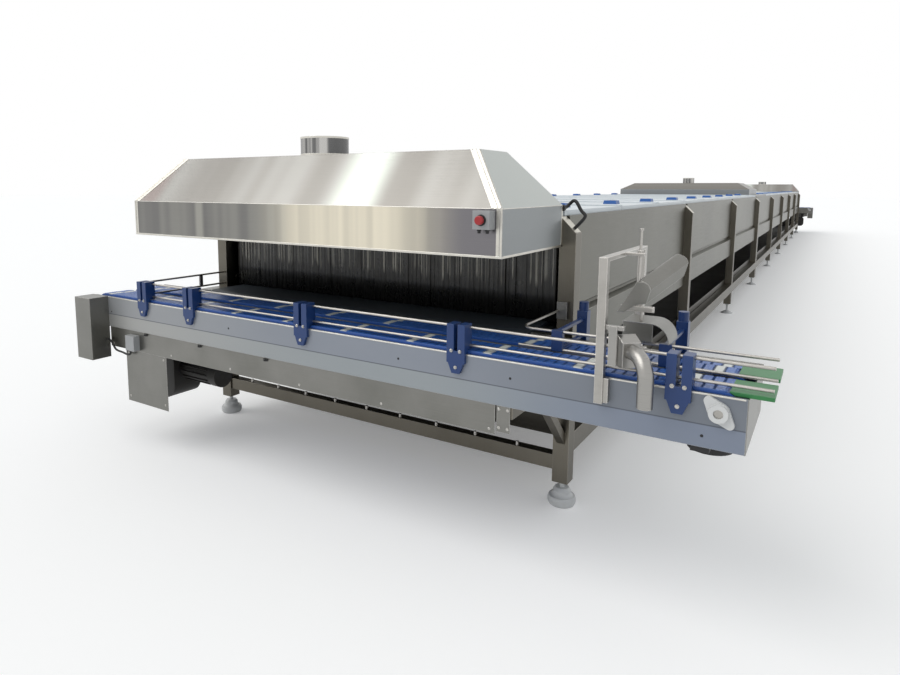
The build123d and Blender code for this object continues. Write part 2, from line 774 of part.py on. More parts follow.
# Rear rod brackets: uprights on the back plate with arms over the rear lane
rear_bracket_xs = [1340, 1760]
upright = 46
arm_thick = 18
knob_radius = 21
with BuildPart() as rear_brackets:
    for x in rear_bracket_xs:
        with Locations((x, conveyor_back + upright / 2, (shield_bottom + 1025) / 2)):
            Box(upright, upright, 1025 - shield_bottom)
        with Locations((x, conveyor_back + upright / 2, 1025 + 20)):
            Cylinder(knob_radius, 40)
        for z in (upper_rod_z - rear_drop, lower_rod_z - rear_drop):
            with Locations((x, (rear_rod_y - 12 + conveyor_back) / 2, z)):
                Box(arm_thick, conveyor_back - rear_rod_y + 12, 12)
        with Locations((x, rear_rod_y, (upper_rod_z + lower_rod_z) / 2 - rear_drop)):
            Box(upright, 24, upper_rod_z - lower_rod_z + 12)
    for z in (upper_rod_z, lower_rod_z):
        with Locations((rod_right, rear_rod_y, z - rear_drop)):
            Cylinder(rod_radius + fit_gap, 4000, rotation=(0, 90, 0), mode=Mode.SUBTRACT)
    add_far_end(rear_brackets)
rear_brackets.part.label = "rear_brackets"
export_step(rear_brackets.part, "parts/rear_brackets.step")

# Support of the cross conveyor: arms from the end posts and braces below them
arm_size = 50
brace_size = 40
brace_foot_z = 380
brace_reach = 330
panel_y = conveyor_front + sheet
with BuildPart() as support_arms:
    for side in (-1, 1):
        with Locations((side * post_x, (front + panel_y + sheet) / 2, plate_bottom - arm_size / 2)):
            Box(post_size - 20, front - panel_y - sheet, arm_size)
        with BuildSketch(Plane.YZ.offset(side * post_x - brace_size / 2)):
            with BuildLine():
                Polyline(
                    (front, brace_foot_z),
                    (front, brace_foot_z - 1.4 * brace_size),
                    (front - brace_reach, plate_bottom - arm_size),
                    (front - brace_reach + 1.2 * brace_size, plate_bottom - arm_size),
                    close=True,
                )
            make_face()
        extrude(amount=brace_size)
    add_far_end(support_arms)
support_arms.part.label = "support_arms"
export_step(support_arms.part, "parts/support_arms.step")

# Lower panel under the front plate, and the guard plate that hangs from it
lower_left = -1495
lower_right = 1165
end_strip_left = 1172
end_strip_right = 1230
lower_bottom = 580
guard_left = -1345
guard_right = -955
guard_bottom = 252
guard_top = 650
with BuildPart() as lower_panel:
    with Locations(((lower_left + lower_right) / 2, panel_y + sheet / 2, (lower_bottom + plate_bottom) / 2)):
        Box(lower_right - lower_left, sheet, plate_bottom - lower_bottom)
    with Locations(
        ((end_strip_left + end_strip_right) / 2, panel_y + sheet / 2, (lower_bottom + plate_bottom + 15) / 2)
    ):
        Box(end_strip_right - end_strip_left, sheet, plate_bottom - lower_bottom - 15)
    add_far_end(lower_panel)
lower_panel.part.label = "lower_panels"
export_step(lower_panel.part, "parts/lower_panels.step")
with BuildPart() as guard_plate:
    with Locations(((guard_left + guard_right) / 2, panel_y + 1.5 * sheet, (guard_bottom + guard_top) / 2)):
        Box(guard_right - guard_left, sheet, guard_top - guard_bottom)
    add_far_end(guard_plate)
guard_plate.part.label = "guard_plates"
export_step(guard_plate.part, "parts/guard_plates.step")

# Drive box on the outside of the front plate
box_left = -1660
box_right = -1500
box_front = conveyor_front - 125
box_bottom = 510
box_top = 895
with BuildPart() as drive_box:
    with Locations(((box_left + box_right) / 2, (box_front + conveyor_front) / 2, (box_bottom + box_top) / 2)):
        Box(box_right - box_left, conveyor_front - box_front, box_top - box_bottom)
    fillet(drive_box.edges().filter_by(Axis.Z).group_by(Axis.Y)[0], radius=4)
    with Locations((drive_x, conveyor_front, lane_z)):
        Cylinder(bearing_bore + 4, 2 * (shaft_out + 4), rotation=(90, 0, 0), mode=Mode.SUBTRACT)
    add_far_end(drive_box)
drive_box.part.label = "drive_boxes"
export_step(drive_box.part, "parts/drive_boxes.step")

# Gearmotor that hangs under the frame beside the drive box: a rounded gear housing on a
# hanger plate, with a ribbed motor and its terminal cover to the right
motor_z = 430
motor_y = front - 380
motor_radius = 72
motor_ribs = 12
gear_depth = 200
gear_left = -1400
gear_right = -1130
gear_bottom = 245
gear_top = 560
gear_round = 88
neck_width = 90
motor_right = -790
hanger_left = -1470
hanger_right = -1290
hanger_thickness = 12
hanger_from = panel_y + 3 * sheet
neck_x = gear_left + neck_width / 2 + 8
with BuildPart() as gearmotor:
    with BuildSketch(Plane.XZ.offset(-motor_y)):
        with Locations(((gear_left + gear_right) / 2, (gear_bottom + gear_top) / 2)):
            RectangleRounded(gear_right - gear_left, gear_top - gear_bottom, gear_round)
    extrude(amount=gear_depth / 2, both=True)
    with BuildSketch(Plane.YZ.offset(gear_right)):
        with Locations((motor_y, motor_z)):
            Circle(motor_radius - 8)
    extrude(amount=motor_right - gear_right)
    with BuildSketch(Plane.YZ.offset(gear_right + 30)):
        with Locations((motor_y, motor_z)):
            for turn in range(motor_ribs):
                with Locations(Location((0, 0), turn * 360 / motor_ribs)):
                    with Locations((motor_radius - 8, 0)):
                        Rectangle(16, 7)
    extrude(amount=motor_right - gear_right - 110)
    with BuildSketch(Plane.YZ.offset(motor_right - 60)):
        with Locations((motor_y, motor_z)):
            Circle(motor_radius)
    extrude(amount=60)
    hanger_bottom = plate_bottom - hanger_thickness
    with Locations((neck_x, motor_y, (gear_top + hanger_bottom) / 2)):
        Box(neck_width, neck_width, hanger_bottom - gear_top)
    with Locations(
        ((hanger_left + hanger_right) / 2, (hanger_from + conveyor_back) / 2, plate_bottom - hanger_thickness / 2)
    ):
        Box(hanger_right - hanger_left, conveyor_back - hanger_from, hanger_thickness)
    add_far_end(gearmotor)
gearmotor.part.label = "gearmotors"
export_step(gearmotor.part, "parts/gearmotors.step")

# Round pad under the free end of the conveyor
pad_x = 1925
pad_y = front - 400
end_pad_radius = 80
with BuildPart() as end_pad:
    with Locations((pad_x, (conveyor_front + conveyor_back) / 2, plate_bottom - 10)):
        Box(60, conveyor_back - conveyor_front - 10, 20)
    with Locations((pad_x, pad_y, plate_bottom - 20 - 25)):
        Cylinder(14, 50)
    with Locations((pad_x, pad_y, plate_bottom - 70 - 12)):
        Cylinder(end_pad_radius, 24)
    add_far_end(end_pad)
end_pad.part.label = "end_pads"
export_step(end_pad.part, "parts/end_pads.step")

# Terminal box on the lower panel
terminal_left = -1285
terminal_right = -1201
terminal_depth = 40
terminal_bottom = 588
terminal_top = 680
with BuildPart() as terminal_box:
    with Locations(
        ((terminal_left + terminal_right) / 2, panel_y - terminal_depth / 2, (terminal_bottom + terminal_top) / 2)
    ):
        Box(terminal_right - terminal_left, terminal_depth, terminal_top - terminal_bottom)
    add_far_end(terminal_box)
terminal_box.part.label = "terminal_boxes"
export_step(terminal_box.part, "parts/terminal_boxes.step")

# Emergency stop box on the right front corner of the hood
stop_size = 73
stop_depth = 52
stop_x = 1112
stop_z = 1447
button_radius = 18
with BuildPart() as stop_box:
    with Locations((stop_x, front - hood_depth - stop_depth / 2, stop_z)):
        Box(stop_size, stop_depth, stop_size)
    add_far_end(stop_box)
stop_box.part.label = "stop_boxes"
export_step(stop_box.part, "parts/stop_boxes.step")
with BuildPart() as stop_button:
    with BuildSketch(Plane.XZ.offset(-(front - hood_depth - stop_depth))):
        with Locations((stop_x, stop_z)):
            Circle(11)
    extrude(amount=10)
    with BuildSketch(Plane.XZ.offset(-(front - hood_depth - stop_depth - 10))):
        with Locations((stop_x, stop_z)):
            Circle(button_radius)
    extrude(amount=14)
    fillet(stop_button.edges().sort_by(Axis.Y)[0], radius=5)
    add_far_end(stop_button)
stop_button.part.label = "stop_buttons"
export_step(stop_button.part, "parts/stop_buttons.step")

# Transfer plates beside the nose of the main belt
plate_inner = cheek_x
plate_outer = 1236
with BuildPart() as side_plates:
    for side in (-1, 1):
        with Locations((side * (plate_inner + plate_outer) / 2, front - 85, cheek_top + sheet / 2)):
            Box(plate_outer - plate_inner, 170, sheet)
    add_far_end(side_plates)
side_plates.part.label = "side_plates"
export_step(side_plates.part, "parts/side_plates.step")

# Portal over the lanes
portal_x = 1585
portal_bar = 30
portal_bottom = 800
portal_top = 1330
cross_x = 1670
spindle_x = 1652
spindle_y = front - 450
with BuildPart() as portal_frame:
    posts_y = (conveyor_front - portal_bar / 2, conveyor_back + portal_bar / 2)
    for y in posts_y:
        with Locations((portal_x, y, (portal_bottom + portal_top) / 2)):
            Box(portal_bar, portal_bar, portal_top - portal_bottom)
    with Locations((portal_x, (posts_y[0] + posts_y[1]) / 2, portal_top - portal_bar / 4)):
        Box(portal_bar, posts_y[1] - posts_y[0], portal_bar / 2)
    with Locations(((portal_x + cross_x) / 2, spindle_y, portal_top - 6)):
        Box(cross_x - portal_x, 26, 12)
    with Locations((spindle_x, spindle_y, portal_top)):
        Cylinder(5 + fit_gap, 60, mode=Mode.SUBTRACT)
    add_far_end(portal_frame)
portal_frame.part.label = "portal_frames"
export_step(portal_frame.part, "parts/portal_frames.step")

# Clamp feet that hold the portal posts on the front and back plates
clamp_foot_width = 18
clamp_foot_depth = 25
with BuildPart() as portal_foot:
    for y in (conveyor_front - clamp_foot_depth / 2, conveyor_back + clamp_foot_depth / 2):
        with Locations((portal_x + (portal_bar + clamp_foot_width) / 2, y, portal_bottom + 50)):
            Box(clamp_foot_width, clamp_foot_depth, 90)
    add_far_end(portal_foot)
portal_foot.part.label = "portal_feet"
export_step(portal_foot.part, "parts/portal_feet.step")

# Height adjustment: a threaded spindle with a head and two nuts on the cross arm of the
# portal, which carries an arm with a forked end and a drop rod below it
spindle_rod = 5
spindle_top = 1422
arm_top_z = 1127
arm_thickness = 20
arm_left = 1588
arm_right = 1711
arm_depth = 24
arm_y = spindle_y + 1
fork_slot = 8
drop_x = 1666
guard_roof = 1072
with BuildPart() as height_arm:
    with BuildSketch(Plane.XY.offset(arm_top_z - arm_thickness)):
        with Locations(((arm_left + arm_right) / 2, arm_y)):
            RectangleRounded(arm_right - arm_left, arm_depth, 6)
        with Locations((arm_right - 10, arm_y)):
            Rectangle(24, fork_slot, mode=Mode.SUBTRACT)
    extrude(amount=arm_thickness)
    add_far_end(height_arm)
height_arm.part.label = "height_arms"
export_step(height_arm.part, "parts/height_arms.step")
with BuildPart() as portal_spindle:
    with BuildSketch(Plane.XY.offset(arm_top_z)):
        with Locations((spindle_x, spindle_y)):
            Circle(spindle_rod)
    extrude(amount=spindle_top - arm_top_z)
    with BuildSketch(Plane.XY.offset(spindle_top - 8)):
        with Locations((spindle_x, spindle_y)):
            Circle(8)
    extrude(amount=8)
    with BuildSketch(Plane.XY.offset(portal_top)):
        with Locations((spindle_x, spindle_y)):
            RegularPolygon(radius=11, side_count=6)
    extrude(amount=9)
    with BuildSketch(Plane.XY.offset(arm_top_z)):
        with Locations((spindle_x, spindle_y)):
            RegularPolygon(radius=11, side_count=6)
    extrude(amount=9)
    with BuildSketch(Plane.XY.offset(guard_roof)):
        with Locations((drop_x, spindle_y)):
            Circle(spindle_rod)
    extrude(amount=arm_top_z - arm_thickness - guard_roof)
    add_far_end(portal_spindle)
portal_spindle.part.label = "portal_spindles"
export_step(portal_spindle.part, "parts/portal_spindles.step")

# Tilted cover: a sheet arch that rises to the back right from a flat end plate
cover_front = arm_y - arm_depth / 2
cover_wall = 2
cover_run = (91, 200, 90)
run_length = sum(step**2 for step in cover_run) ** 0.5
plate_depth = 3
hole_radius = 12 + fit_gap
with BuildPart() as tilt_cover:
    with BuildSketch(Plane.XZ.offset(-cover_front)):
        with BuildLine():
            arch_foot = (1640, 1212)
            ThreePointArc(arch_foot, (1652, 1224), (1672, 1222))
            ThreePointArc((1672, 1222), (1690, 1211), (1698, 1192))
            Line((1698, 1192), (1684, 1140))
            offset(amount=cover_wall, side=Side.RIGHT)
        make_face()
    extrude(amount=run_length, dir=cover_run)
    with BuildSketch(Plane.XZ.offset(-cover_front)):
        with BuildLine():
            Polyline(
                (1576, 1098),
                (1603, 1100),
                (1645, 1132),
                (1684, 1140),
                (1698, 1192),
                (1690, 1211),
                (1672, 1222),
                (1648, 1222),
                close=True,
            )
        make_face()
    extrude(amount=plate_depth)
    with Locations((spindle_x, spindle_y, (arm_top_z + spindle_top) / 2)):
        Cylinder(hole_radius, spindle_top - arm_top_z, mode=Mode.SUBTRACT)
    add_far_end(tilt_cover)
tilt_cover.part.label = "tilt_covers"
export_step(tilt_cover.part, "parts/tilt_covers.step")

# Fall guard under the drop rod: a sheet with a rounded side and a front plate
guard_from = front - 485
guard_to = front - 330
guard_round = 72
guard_side = 1776
guard_edge = 1606
guard_foot = upper_rod_z - rear_drop + rod_radius + 4
guard_plate_right = 1716
with BuildPart() as fall_guard:
    with BuildSketch(Plane.XZ.offset(-guard_to)):
        with BuildLine():
            Line((guard_edge, guard_roof), (guard_side - guard_round, guard_roof))
            RadiusArc(
                (guard_side - guard_round, guard_roof), (guard_side, guard_roof - guard_round), guard_round
            )
            Line((guard_side, guard_roof - guard_round), (guard_side, guard_foot))
            offset(amount=sheet, side=Side.RIGHT)
        make_face()
    extrude(amount=guard_to - guard_from)
    with BuildSketch(Plane.XZ.offset(-guard_from - 8)):
        with Locations(((guard_edge + guard_plate_right) / 2, (guard_roof - sheet + guard_foot) / 2)):
            Rectangle(guard_plate_right - guard_edge, guard_roof - sheet - guard_foot)
    extrude(amount=sheet)
    add_far_end(fall_guard)
fall_guard.part.label = "fall_guards"
export_step(fall_guard.part, "parts/fall_guards.step")

# Inlet box in front of the rods: a clamp bar on the portal post, a flat carrier plate and a
# box turned 45 degrees with a sloping lid
clamp_bar = 16
bar_left = portal_x + portal_bar / 2
bar_right = 1665
bar_y = conveyor_front - portal_bar / 2
bar_z = 1082
carrier_left = 1614
carrier_right = 1643
carrier_bottom = 945
carrier_depth = 8
box_width = 69
box_depth = 41
box_floor = 949
box_back = 1061
lid_drop = 23
box_corner = (carrier_right, bar_y - clamp_bar / 2 - 2)
box_plane = Plane(origin=(*box_corner, 0), x_dir=(1, 1, 0), z_dir=(0, 0, 1))
side_plane = Plane(origin=(*box_corner, 0), x_dir=(1, -1, 0), z_dir=(-1, -1, 0))
with BuildPart() as inlet_box:
    with Locations(((bar_left + bar_right) / 2, bar_y, bar_z)):
        Box(bar_right - bar_left, clamp_bar, clamp_bar)
    with Locations(
        (
            (carrier_left + carrier_right) / 2,
            bar_y - (clamp_bar + carrier_depth) / 2,
            (carrier_bottom + bar_z + clamp_bar / 2) / 2,
        )
    ):
        Box(carrier_right - carrier_left, carrier_depth, bar_z + clamp_bar / 2 - carrier_bottom)
    with BuildSketch(side_plane):
        with BuildLine():
            Polyline(
                (0, box_floor),
                (box_depth, box_floor),
                (box_depth, box_back - lid_drop),
                (0, box_back),
                close=True,
            )
        make_face()
    extrude(amount=-box_width)
    add_far_end(inlet_box)
inlet_box.part.label = "inlet_boxes"
export_step(inlet_box.part, "parts/inlet_boxes.step")

# Elbow pipe from the turned face of the inlet box down in front of the plate
elbow_radius = 27
elbow_wall = 2
elbow_bend = 76
elbow_reach = 92
elbow_z = 1006
elbow_bottom = 835
elbow_start = box_plane.from_local_coords(Vector(box_width / 2, -box_depth, elbow_z))
elbow_corner = box_plane.from_local_coords(Vector(box_width / 2, -box_depth - elbow_reach, elbow_z))
elbow_end = Vector(elbow_corner.X, elbow_corner.Y, elbow_bottom)
with BuildPart() as elbow_pipe:
    with BuildLine() as elbow_route:
        FilletPolyline(elbow_start, elbow_corner, elbow_end, radius=elbow_bend)
    with BuildSketch(Plane(elbow_route.line @ 0, z_dir=elbow_route.line % 0)):
        Circle(elbow_radius)
        Circle(elbow_radius - elbow_wall, mode=Mode.SUBTRACT)
    sweep()
    add_far_end(elbow_pipe)
elbow_pipe.part.label = "elbow_pipes"
export_step(elbow_pipe.part, "parts/elbow_pipes.step")

# Rod holders on the front faces of the right posts
holder_width = 50
holder_depth = 22
holder_height = 84
rod_end_z = upper_rod_z - rear_drop
with BuildPart() as rod_holder:
    with Locations((guard_x + 30, front - holder_depth / 2, rod_end_z + 4)):
        Box(holder_width, holder_depth, holder_height)
    with Locations((guard_x + 10, front - holder_depth / 2, rod_end_z)):
        Cylinder(rod_radius + fit_gap, 2 * holder_depth, rotation=(90, 0, 0), mode=Mode.SUBTRACT)
    add_far_end(rod_holder)
rod_holder.part.label = "rod_holders"
export_step(rod_holder.part, "parts/rod_holders.step")

# Connector on the back corner of the hood and the hose that it sends into the post
connector_radius = 16
connector_z = 1478
hose_radius = 8
hose_x = hood_width / 2 + 8
hose_y = front + 18
with BuildPart() as hood_connector:
    with Locations((hood_width / 2 - 6, front + 12, connector_z)):
        Cylinder(connector_radius, 24, rotation=(90, 0, 0))
    with Locations((hood_width / 2 - 6, front + 32, connector_z)):
        Cylinder(connector_radius - 5, 16, rotation=(90, 0, 0))
    add_far_end(hood_connector)
hood_connector.part.label = "hood_connectors"
export_step(hood_connector.part, "parts/hood_connectors.step")

# Short leads between two housings: hood connector to post, drive box to terminal box
lead_radius = 6
bevel_x = inner_x + 58
bevel_z = panel_top - 58
lead_y = panel_y - terminal_depth / 2
with BuildPart() as short_lead:
    with BuildLine() as post_lead:
        Spline(
            (hood_width / 2 - 6, front + 40, connector_z),
            (hood_width / 2 + 34, front + 56, connector_z + 34),
            (hood_width / 2 + 76, front + 48, connector_z - 14),
            (bevel_x, front + 40, bevel_z),
            tangents=[(0, 1, 0), (-1, 0, -1)],
        )
    with BuildSketch(Plane(post_lead.line @ 0, z_dir=post_lead.line % 0)):
        Circle(hose_radius)
    sweep()
    with BuildLine() as drive_lead:
        Spline(
            (box_right, lead_y, 625),
            (box_right + 75, lead_y, 574),
            (terminal_left - 60, lead_y, 560),
            (terminal_left + 22, lead_y, terminal_bottom),
            tangents=[(1, 0, 0), (0, 0, 1)],
        )
    with BuildSketch(Plane(drive_lead.line @ 0, z_dir=drive_lead.line % 0)):
        Circle(lead_radius)
    sweep()
    add_far_end(short_lead)
short_lead.part.label = "short_leads"
export_step(short_lead.part, "parts/short_leads.step")
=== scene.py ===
# %% [markdown]
# # Dressing a pasteurization tunnel
# The machine is a spray tunnel, 24 m long, with a cross conveyor, a strip curtain and an
# extraction hood at each end. The solids come from the CAD frame. Here they get their finishes,
# and the small things that repeat are laid over them with Geometry Nodes.

# %% Load the frame and keep its box
import math
import bpy
from mathutils import Euler, Matrix, Vector


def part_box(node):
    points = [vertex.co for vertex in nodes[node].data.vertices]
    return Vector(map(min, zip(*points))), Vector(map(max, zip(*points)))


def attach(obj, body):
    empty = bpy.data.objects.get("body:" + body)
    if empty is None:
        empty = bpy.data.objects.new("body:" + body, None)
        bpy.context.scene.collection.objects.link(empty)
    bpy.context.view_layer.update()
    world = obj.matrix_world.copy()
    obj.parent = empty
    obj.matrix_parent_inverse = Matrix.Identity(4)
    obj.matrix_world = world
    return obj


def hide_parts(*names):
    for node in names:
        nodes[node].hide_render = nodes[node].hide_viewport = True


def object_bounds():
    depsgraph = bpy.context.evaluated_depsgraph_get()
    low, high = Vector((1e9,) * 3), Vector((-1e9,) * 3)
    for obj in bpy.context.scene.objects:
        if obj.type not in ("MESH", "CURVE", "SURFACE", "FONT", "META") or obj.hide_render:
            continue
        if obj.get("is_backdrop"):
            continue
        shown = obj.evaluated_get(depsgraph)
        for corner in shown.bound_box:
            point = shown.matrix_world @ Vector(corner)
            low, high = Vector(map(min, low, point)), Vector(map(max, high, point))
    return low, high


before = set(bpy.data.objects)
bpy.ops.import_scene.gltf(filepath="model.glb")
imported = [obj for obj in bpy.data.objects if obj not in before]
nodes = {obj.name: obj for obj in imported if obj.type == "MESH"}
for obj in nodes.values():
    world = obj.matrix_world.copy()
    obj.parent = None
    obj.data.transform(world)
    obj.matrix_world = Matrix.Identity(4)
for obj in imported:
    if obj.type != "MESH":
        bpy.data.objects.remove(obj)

cad_low, cad_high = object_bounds()
scene = bpy.context.scene
scene.view_settings.view_transform = "Standard"
print("CAD nodes:", len(nodes), "box:", [round(v, 3) for v in (*cad_low, *cad_high)])

# %% [markdown]
# ## Camera
# A view made with a phone at eye height, close to the right front corner, has strong
# perspective: the far end is twelve metres behind the near one. The lens is wide and a small
# shift puts the picture's edges where they belong, without turning the camera further down.

# %% Camera
camera_data = bpy.data.cameras.new("eye_height_camera")
camera_data.lens = 25.67
camera_data.sensor_width = 36.0
camera_data.shift_x = 0.048
camera_data.shift_y = -0.074
camera_data.clip_start = 0.05
camera_data.clip_end = 300.0
camera = bpy.data.objects.new("eye_height_camera", camera_data)
scene.collection.objects.link(camera)
camera.location = (2.2417, -14.982, 1.57)
camera.rotation_euler = Euler((math.radians(82.64), math.radians(-0.14), math.radians(33.44)))
scene.camera = camera
print("camera at", tuple(round(v, 2) for v in camera.location), "lens", camera_data.lens)

# %% [markdown]
# ## Studio
# Bare steel shows whatever stands round it, so the studio is a white room: a white world, one
# wide soft lamp from above and the left, and a pale floor that keeps the machine's shadow.

# %% World and lamp
world = bpy.data.worlds.new("white_room")
world.use_nodes = True
scene.world = world
tree = world.node_tree
tree.nodes.clear()
path = tree.nodes.new("ShaderNodeLightPath")
sees_gloss = tree.nodes.new("ShaderNodeMath")
sees_gloss.operation = "MAXIMUM"
tree.links.new(path.outputs["Is Camera Ray"], sees_gloss.inputs[0])
tree.links.new(path.outputs["Is Glossy Ray"], sees_gloss.inputs[1])
sees_room = tree.nodes.new("ShaderNodeMath")
sees_room.operation = "MAXIMUM"
tree.links.new(sees_gloss.outputs[0], sees_room.inputs[0])
tree.links.new(path.outputs["Is Transmission Ray"], sees_room.inputs[1])
room_light = tree.nodes.new("ShaderNodeBackground")
room_light.inputs["Color"].default_value = (0.95, 0.98, 1.0, 1.0)
room_light.inputs["Strength"].default_value = 0.62
room_seen = tree.nodes.new("ShaderNodeBackground")
room_seen.inputs["Color"].default_value = (1.0, 1.0, 1.0, 1.0)
room_seen.inputs["Strength"].default_value = 1.0
choose = tree.nodes.new("ShaderNodeMixShader")
tree.links.new(sees_room.outputs[0], choose.inputs["Fac"])
tree.links.new(room_light.outputs[0], choose.inputs[1])
tree.links.new(room_seen.outputs[0], choose.inputs[2])
world_out = tree.nodes.new("ShaderNodeOutputWorld")
tree.links.new(choose.outputs[0], world_out.inputs["Surface"])

sun_data = bpy.data.lights.new("soft_roof_light", "SUN")
sun_data.energy = 1.25
sun_data.angle = math.radians(50)
sun_data.color = (1.0, 0.98, 0.95)
sun = bpy.data.objects.new("soft_roof_light", sun_data)
scene.collection.objects.link(sun)
sun.rotation_euler = Euler((math.radians(38), math.radians(-22), math.radians(-20)))
print("world 0.62 for soft light, 1.0 where it is seen; roof light", sun_data.energy)

# %% Floor
floor_mesh = bpy.data.meshes.new("studio_floor")
reach = 120.0
floor_mesh.from_pydata(
    [(-reach, -reach, -0.0005), (reach, -reach, -0.0005), (reach, reach, -0.0005), (-reach, reach, -0.0005)],
    [],
    [(0, 1, 2, 3)],
)
floor = bpy.data.objects.new("studio_floor", floor_mesh)
scene.collection.objects.link(floor)
floor_paint = bpy.data.materials.new("studio_floor_paint")
floor_paint.use_nodes = True
tree = floor_paint.node_tree
tree.nodes.clear()
path = tree.nodes.new("ShaderNodeLightPath")
seen = tree.nodes.new("ShaderNodeMath")
seen.operation = "MAXIMUM"
tree.links.new(path.outputs["Is Camera Ray"], seen.inputs[0])
tree.links.new(path.outputs["Is Glossy Ray"], seen.inputs[1])
lift = tree.nodes.new("ShaderNodeMath")
lift.operation = "MULTIPLY"
lift.inputs[1].default_value = 0.22
tree.links.new(seen.outputs[0], lift.inputs[0])
paint = tree.nodes.new("ShaderNodeBsdfPrincipled")
paint.inputs["Base Color"].default_value = (0.86, 0.86, 0.86, 1.0)
paint.inputs["Roughness"].default_value = 0.9
paint.inputs["Specular IOR Level"].default_value = 0.1
paint.inputs["Emission Color"].default_value = (1.0, 1.0, 1.0, 1.0)
tree.links.new(lift.outputs[0], paint.inputs["Emission Strength"])
floor_out = tree.nodes.new("ShaderNodeOutputMaterial")
tree.links.new(paint.outputs[0], floor_out.inputs["Surface"])
floor_mesh.materials.append(floor_paint)
floor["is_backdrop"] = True
print("floor", 2 * reach, "m wide")

# %% [markdown]
# ## Effects that several finishes share
# Each effect is a node group, built once. It reads Object coordinates, which are metres in the
# machine's frame, and gives a mask or a height. The shader itself stays in the material.

# %% Helpers for node trees
def effect(name, inputs, outputs):
    """Start a shader node group with named float inputs and outputs."""
    group = bpy.data.node_groups.new(name, "ShaderNodeTree")
    for label, kind, value in inputs:
        socket = group.interface.new_socket(label, in_out="INPUT", socket_type=kind)
        socket.default_value = value
    for label, kind in outputs:
        group.interface.new_socket(label, in_out="OUTPUT", socket_type=kind)
    start = group.nodes.new("NodeGroupInput")
    end = group.nodes.new("NodeGroupOutput")
    return group, start, end


def add_node(tree, kind, links=(), **values):
    """Add a node; links are (input, source socket) pairs and values set inputs or properties."""
    node = tree.nodes.new(kind)
    for key, value in values.items():
        if hasattr(node, key):
            setattr(node, key, value)
        else:
            node.inputs[key].default_value = value
    for key, source in links:
        tree.links.new(source, node.inputs[key])
    return node


def math_node(tree, operation, first, second=None, clamp=False):
    """A Math node whose operands are sockets or numbers; gives its output socket."""
    node = tree.nodes.new("ShaderNodeMath")
    node.operation = operation
    node.use_clamp = clamp
    for slot, value in enumerate((first, second)):
        if value is None:
            continue
        if isinstance(value, (int, float)):
            node.inputs[slot].default_value = value
        else:
            tree.links.new(value, node.inputs[slot])
    return node.outputs[0]


def smooth_step(tree, value, low, high):
    """0 below low and 1 above high, with a soft change between them."""
    node = tree.nodes.new("ShaderNodeMapRange")
    node.interpolation_type = "SMOOTHSTEP"
    node.clamp = True
    tree.links.new(value, node.inputs["Value"])
    node.inputs["From Min"].default_value = low
    node.inputs["From Max"].default_value = high
    return node.outputs["Result"]


def metres(tree):
    """Object coordinates: the vector socket and its three separate parts."""
    source = tree.nodes.new("ShaderNodeTexCoord").outputs["Object"]
    split = tree.nodes.new("ShaderNodeSeparateXYZ")
    tree.links.new(source, split.inputs[0])
    return source, split.outputs


print("helpers ready")

# %% Effect: brushed grain
brushed, start, end = effect(
    "brushed_grain",
    [("Lines Per Metre", "NodeSocketVector", (3.0, 3.0, 500.0)), ("Contrast", "NodeSocketFloat", 1.0)],
    [("Grain", "NodeSocketFloat"), ("Height", "NodeSocketFloat")],
)
place, _ = metres(brushed)
stretched = add_node(brushed, "ShaderNodeVectorMath", [(0, place), (1, start.outputs["Lines Per Metre"])], operation="MULTIPLY")
fine = add_node(brushed, "ShaderNodeTexNoise", [("Vector", stretched.outputs[0])], Scale=1.0, Detail=3.0, Roughness=0.6)
centred = math_node(brushed, "SUBTRACT", fine.outputs["Fac"], 0.5)
scaled = math_node(brushed, "MULTIPLY", centred, start.outputs["Contrast"])
brushed.links.new(math_node(brushed, "ADD", scaled, 0.5, clamp=True), end.inputs["Grain"])
brushed.links.new(fine.outputs["Fac"], end.inputs["Height"])

# %% Effect: clouds of tone, as in handled or rolled sheet
clouds, start, end = effect(
    "clouds_of_tone",
    [("Size", "NodeSocketFloat", 0.4), ("Sharpness", "NodeSocketFloat", 0.3), ("Stretch", "NodeSocketVector", (1.0, 1.0, 1.0))],
    [("Mask", "NodeSocketFloat")],
)
place, _ = metres(clouds)
stretched = add_node(clouds, "ShaderNodeVectorMath", [(0, place), (1, start.outputs["Stretch"])], operation="MULTIPLY")
per_metre = math_node(clouds, "DIVIDE", 1.0, start.outputs["Size"])
big = add_node(clouds, "ShaderNodeTexNoise", [("Vector", stretched.outputs[0]), ("Scale", per_metre)], Detail=4.0, Roughness=0.55)
rise = add_node(
    clouds,
    "ShaderNodeMapRange",
    [
        ("Value", big.outputs["Fac"]),
        ("From Min", math_node(clouds, "SUBTRACT", 0.5, start.outputs["Sharpness"])),
        ("From Max", math_node(clouds, "ADD", 0.5, start.outputs["Sharpness"])),
    ],
)
clouds.links.new(rise.outputs["Result"], end.inputs["Mask"])

# %% Effect: scuffs and specks
scuffs, start, end = effect(
    "scuffs_and_specks",
    [("Size", "NodeSocketFloat", 0.06), ("Amount", "NodeSocketFloat", 0.3)],
    [("Mask", "NodeSocketFloat")],
)
place, _ = metres(scuffs)
per_metre = math_node(scuffs, "DIVIDE", 1.0, start.outputs["Size"])
crackle = add_node(scuffs, "ShaderNodeTexNoise", [("Vector", place), ("Scale", per_metre)], Detail=6.0, Roughness=0.75, Distortion=1.2)
edge = math_node(scuffs, "SUBTRACT", 0.78, math_node(scuffs, "MULTIPLY", start.outputs["Amount"], 0.25))
over = math_node(scuffs, "SUBTRACT", crackle.outputs["Fac"], edge)
scuffs.links.new(math_node(scuffs, "MULTIPLY", over, 9.0, clamp=True), end.inputs["Mask"])

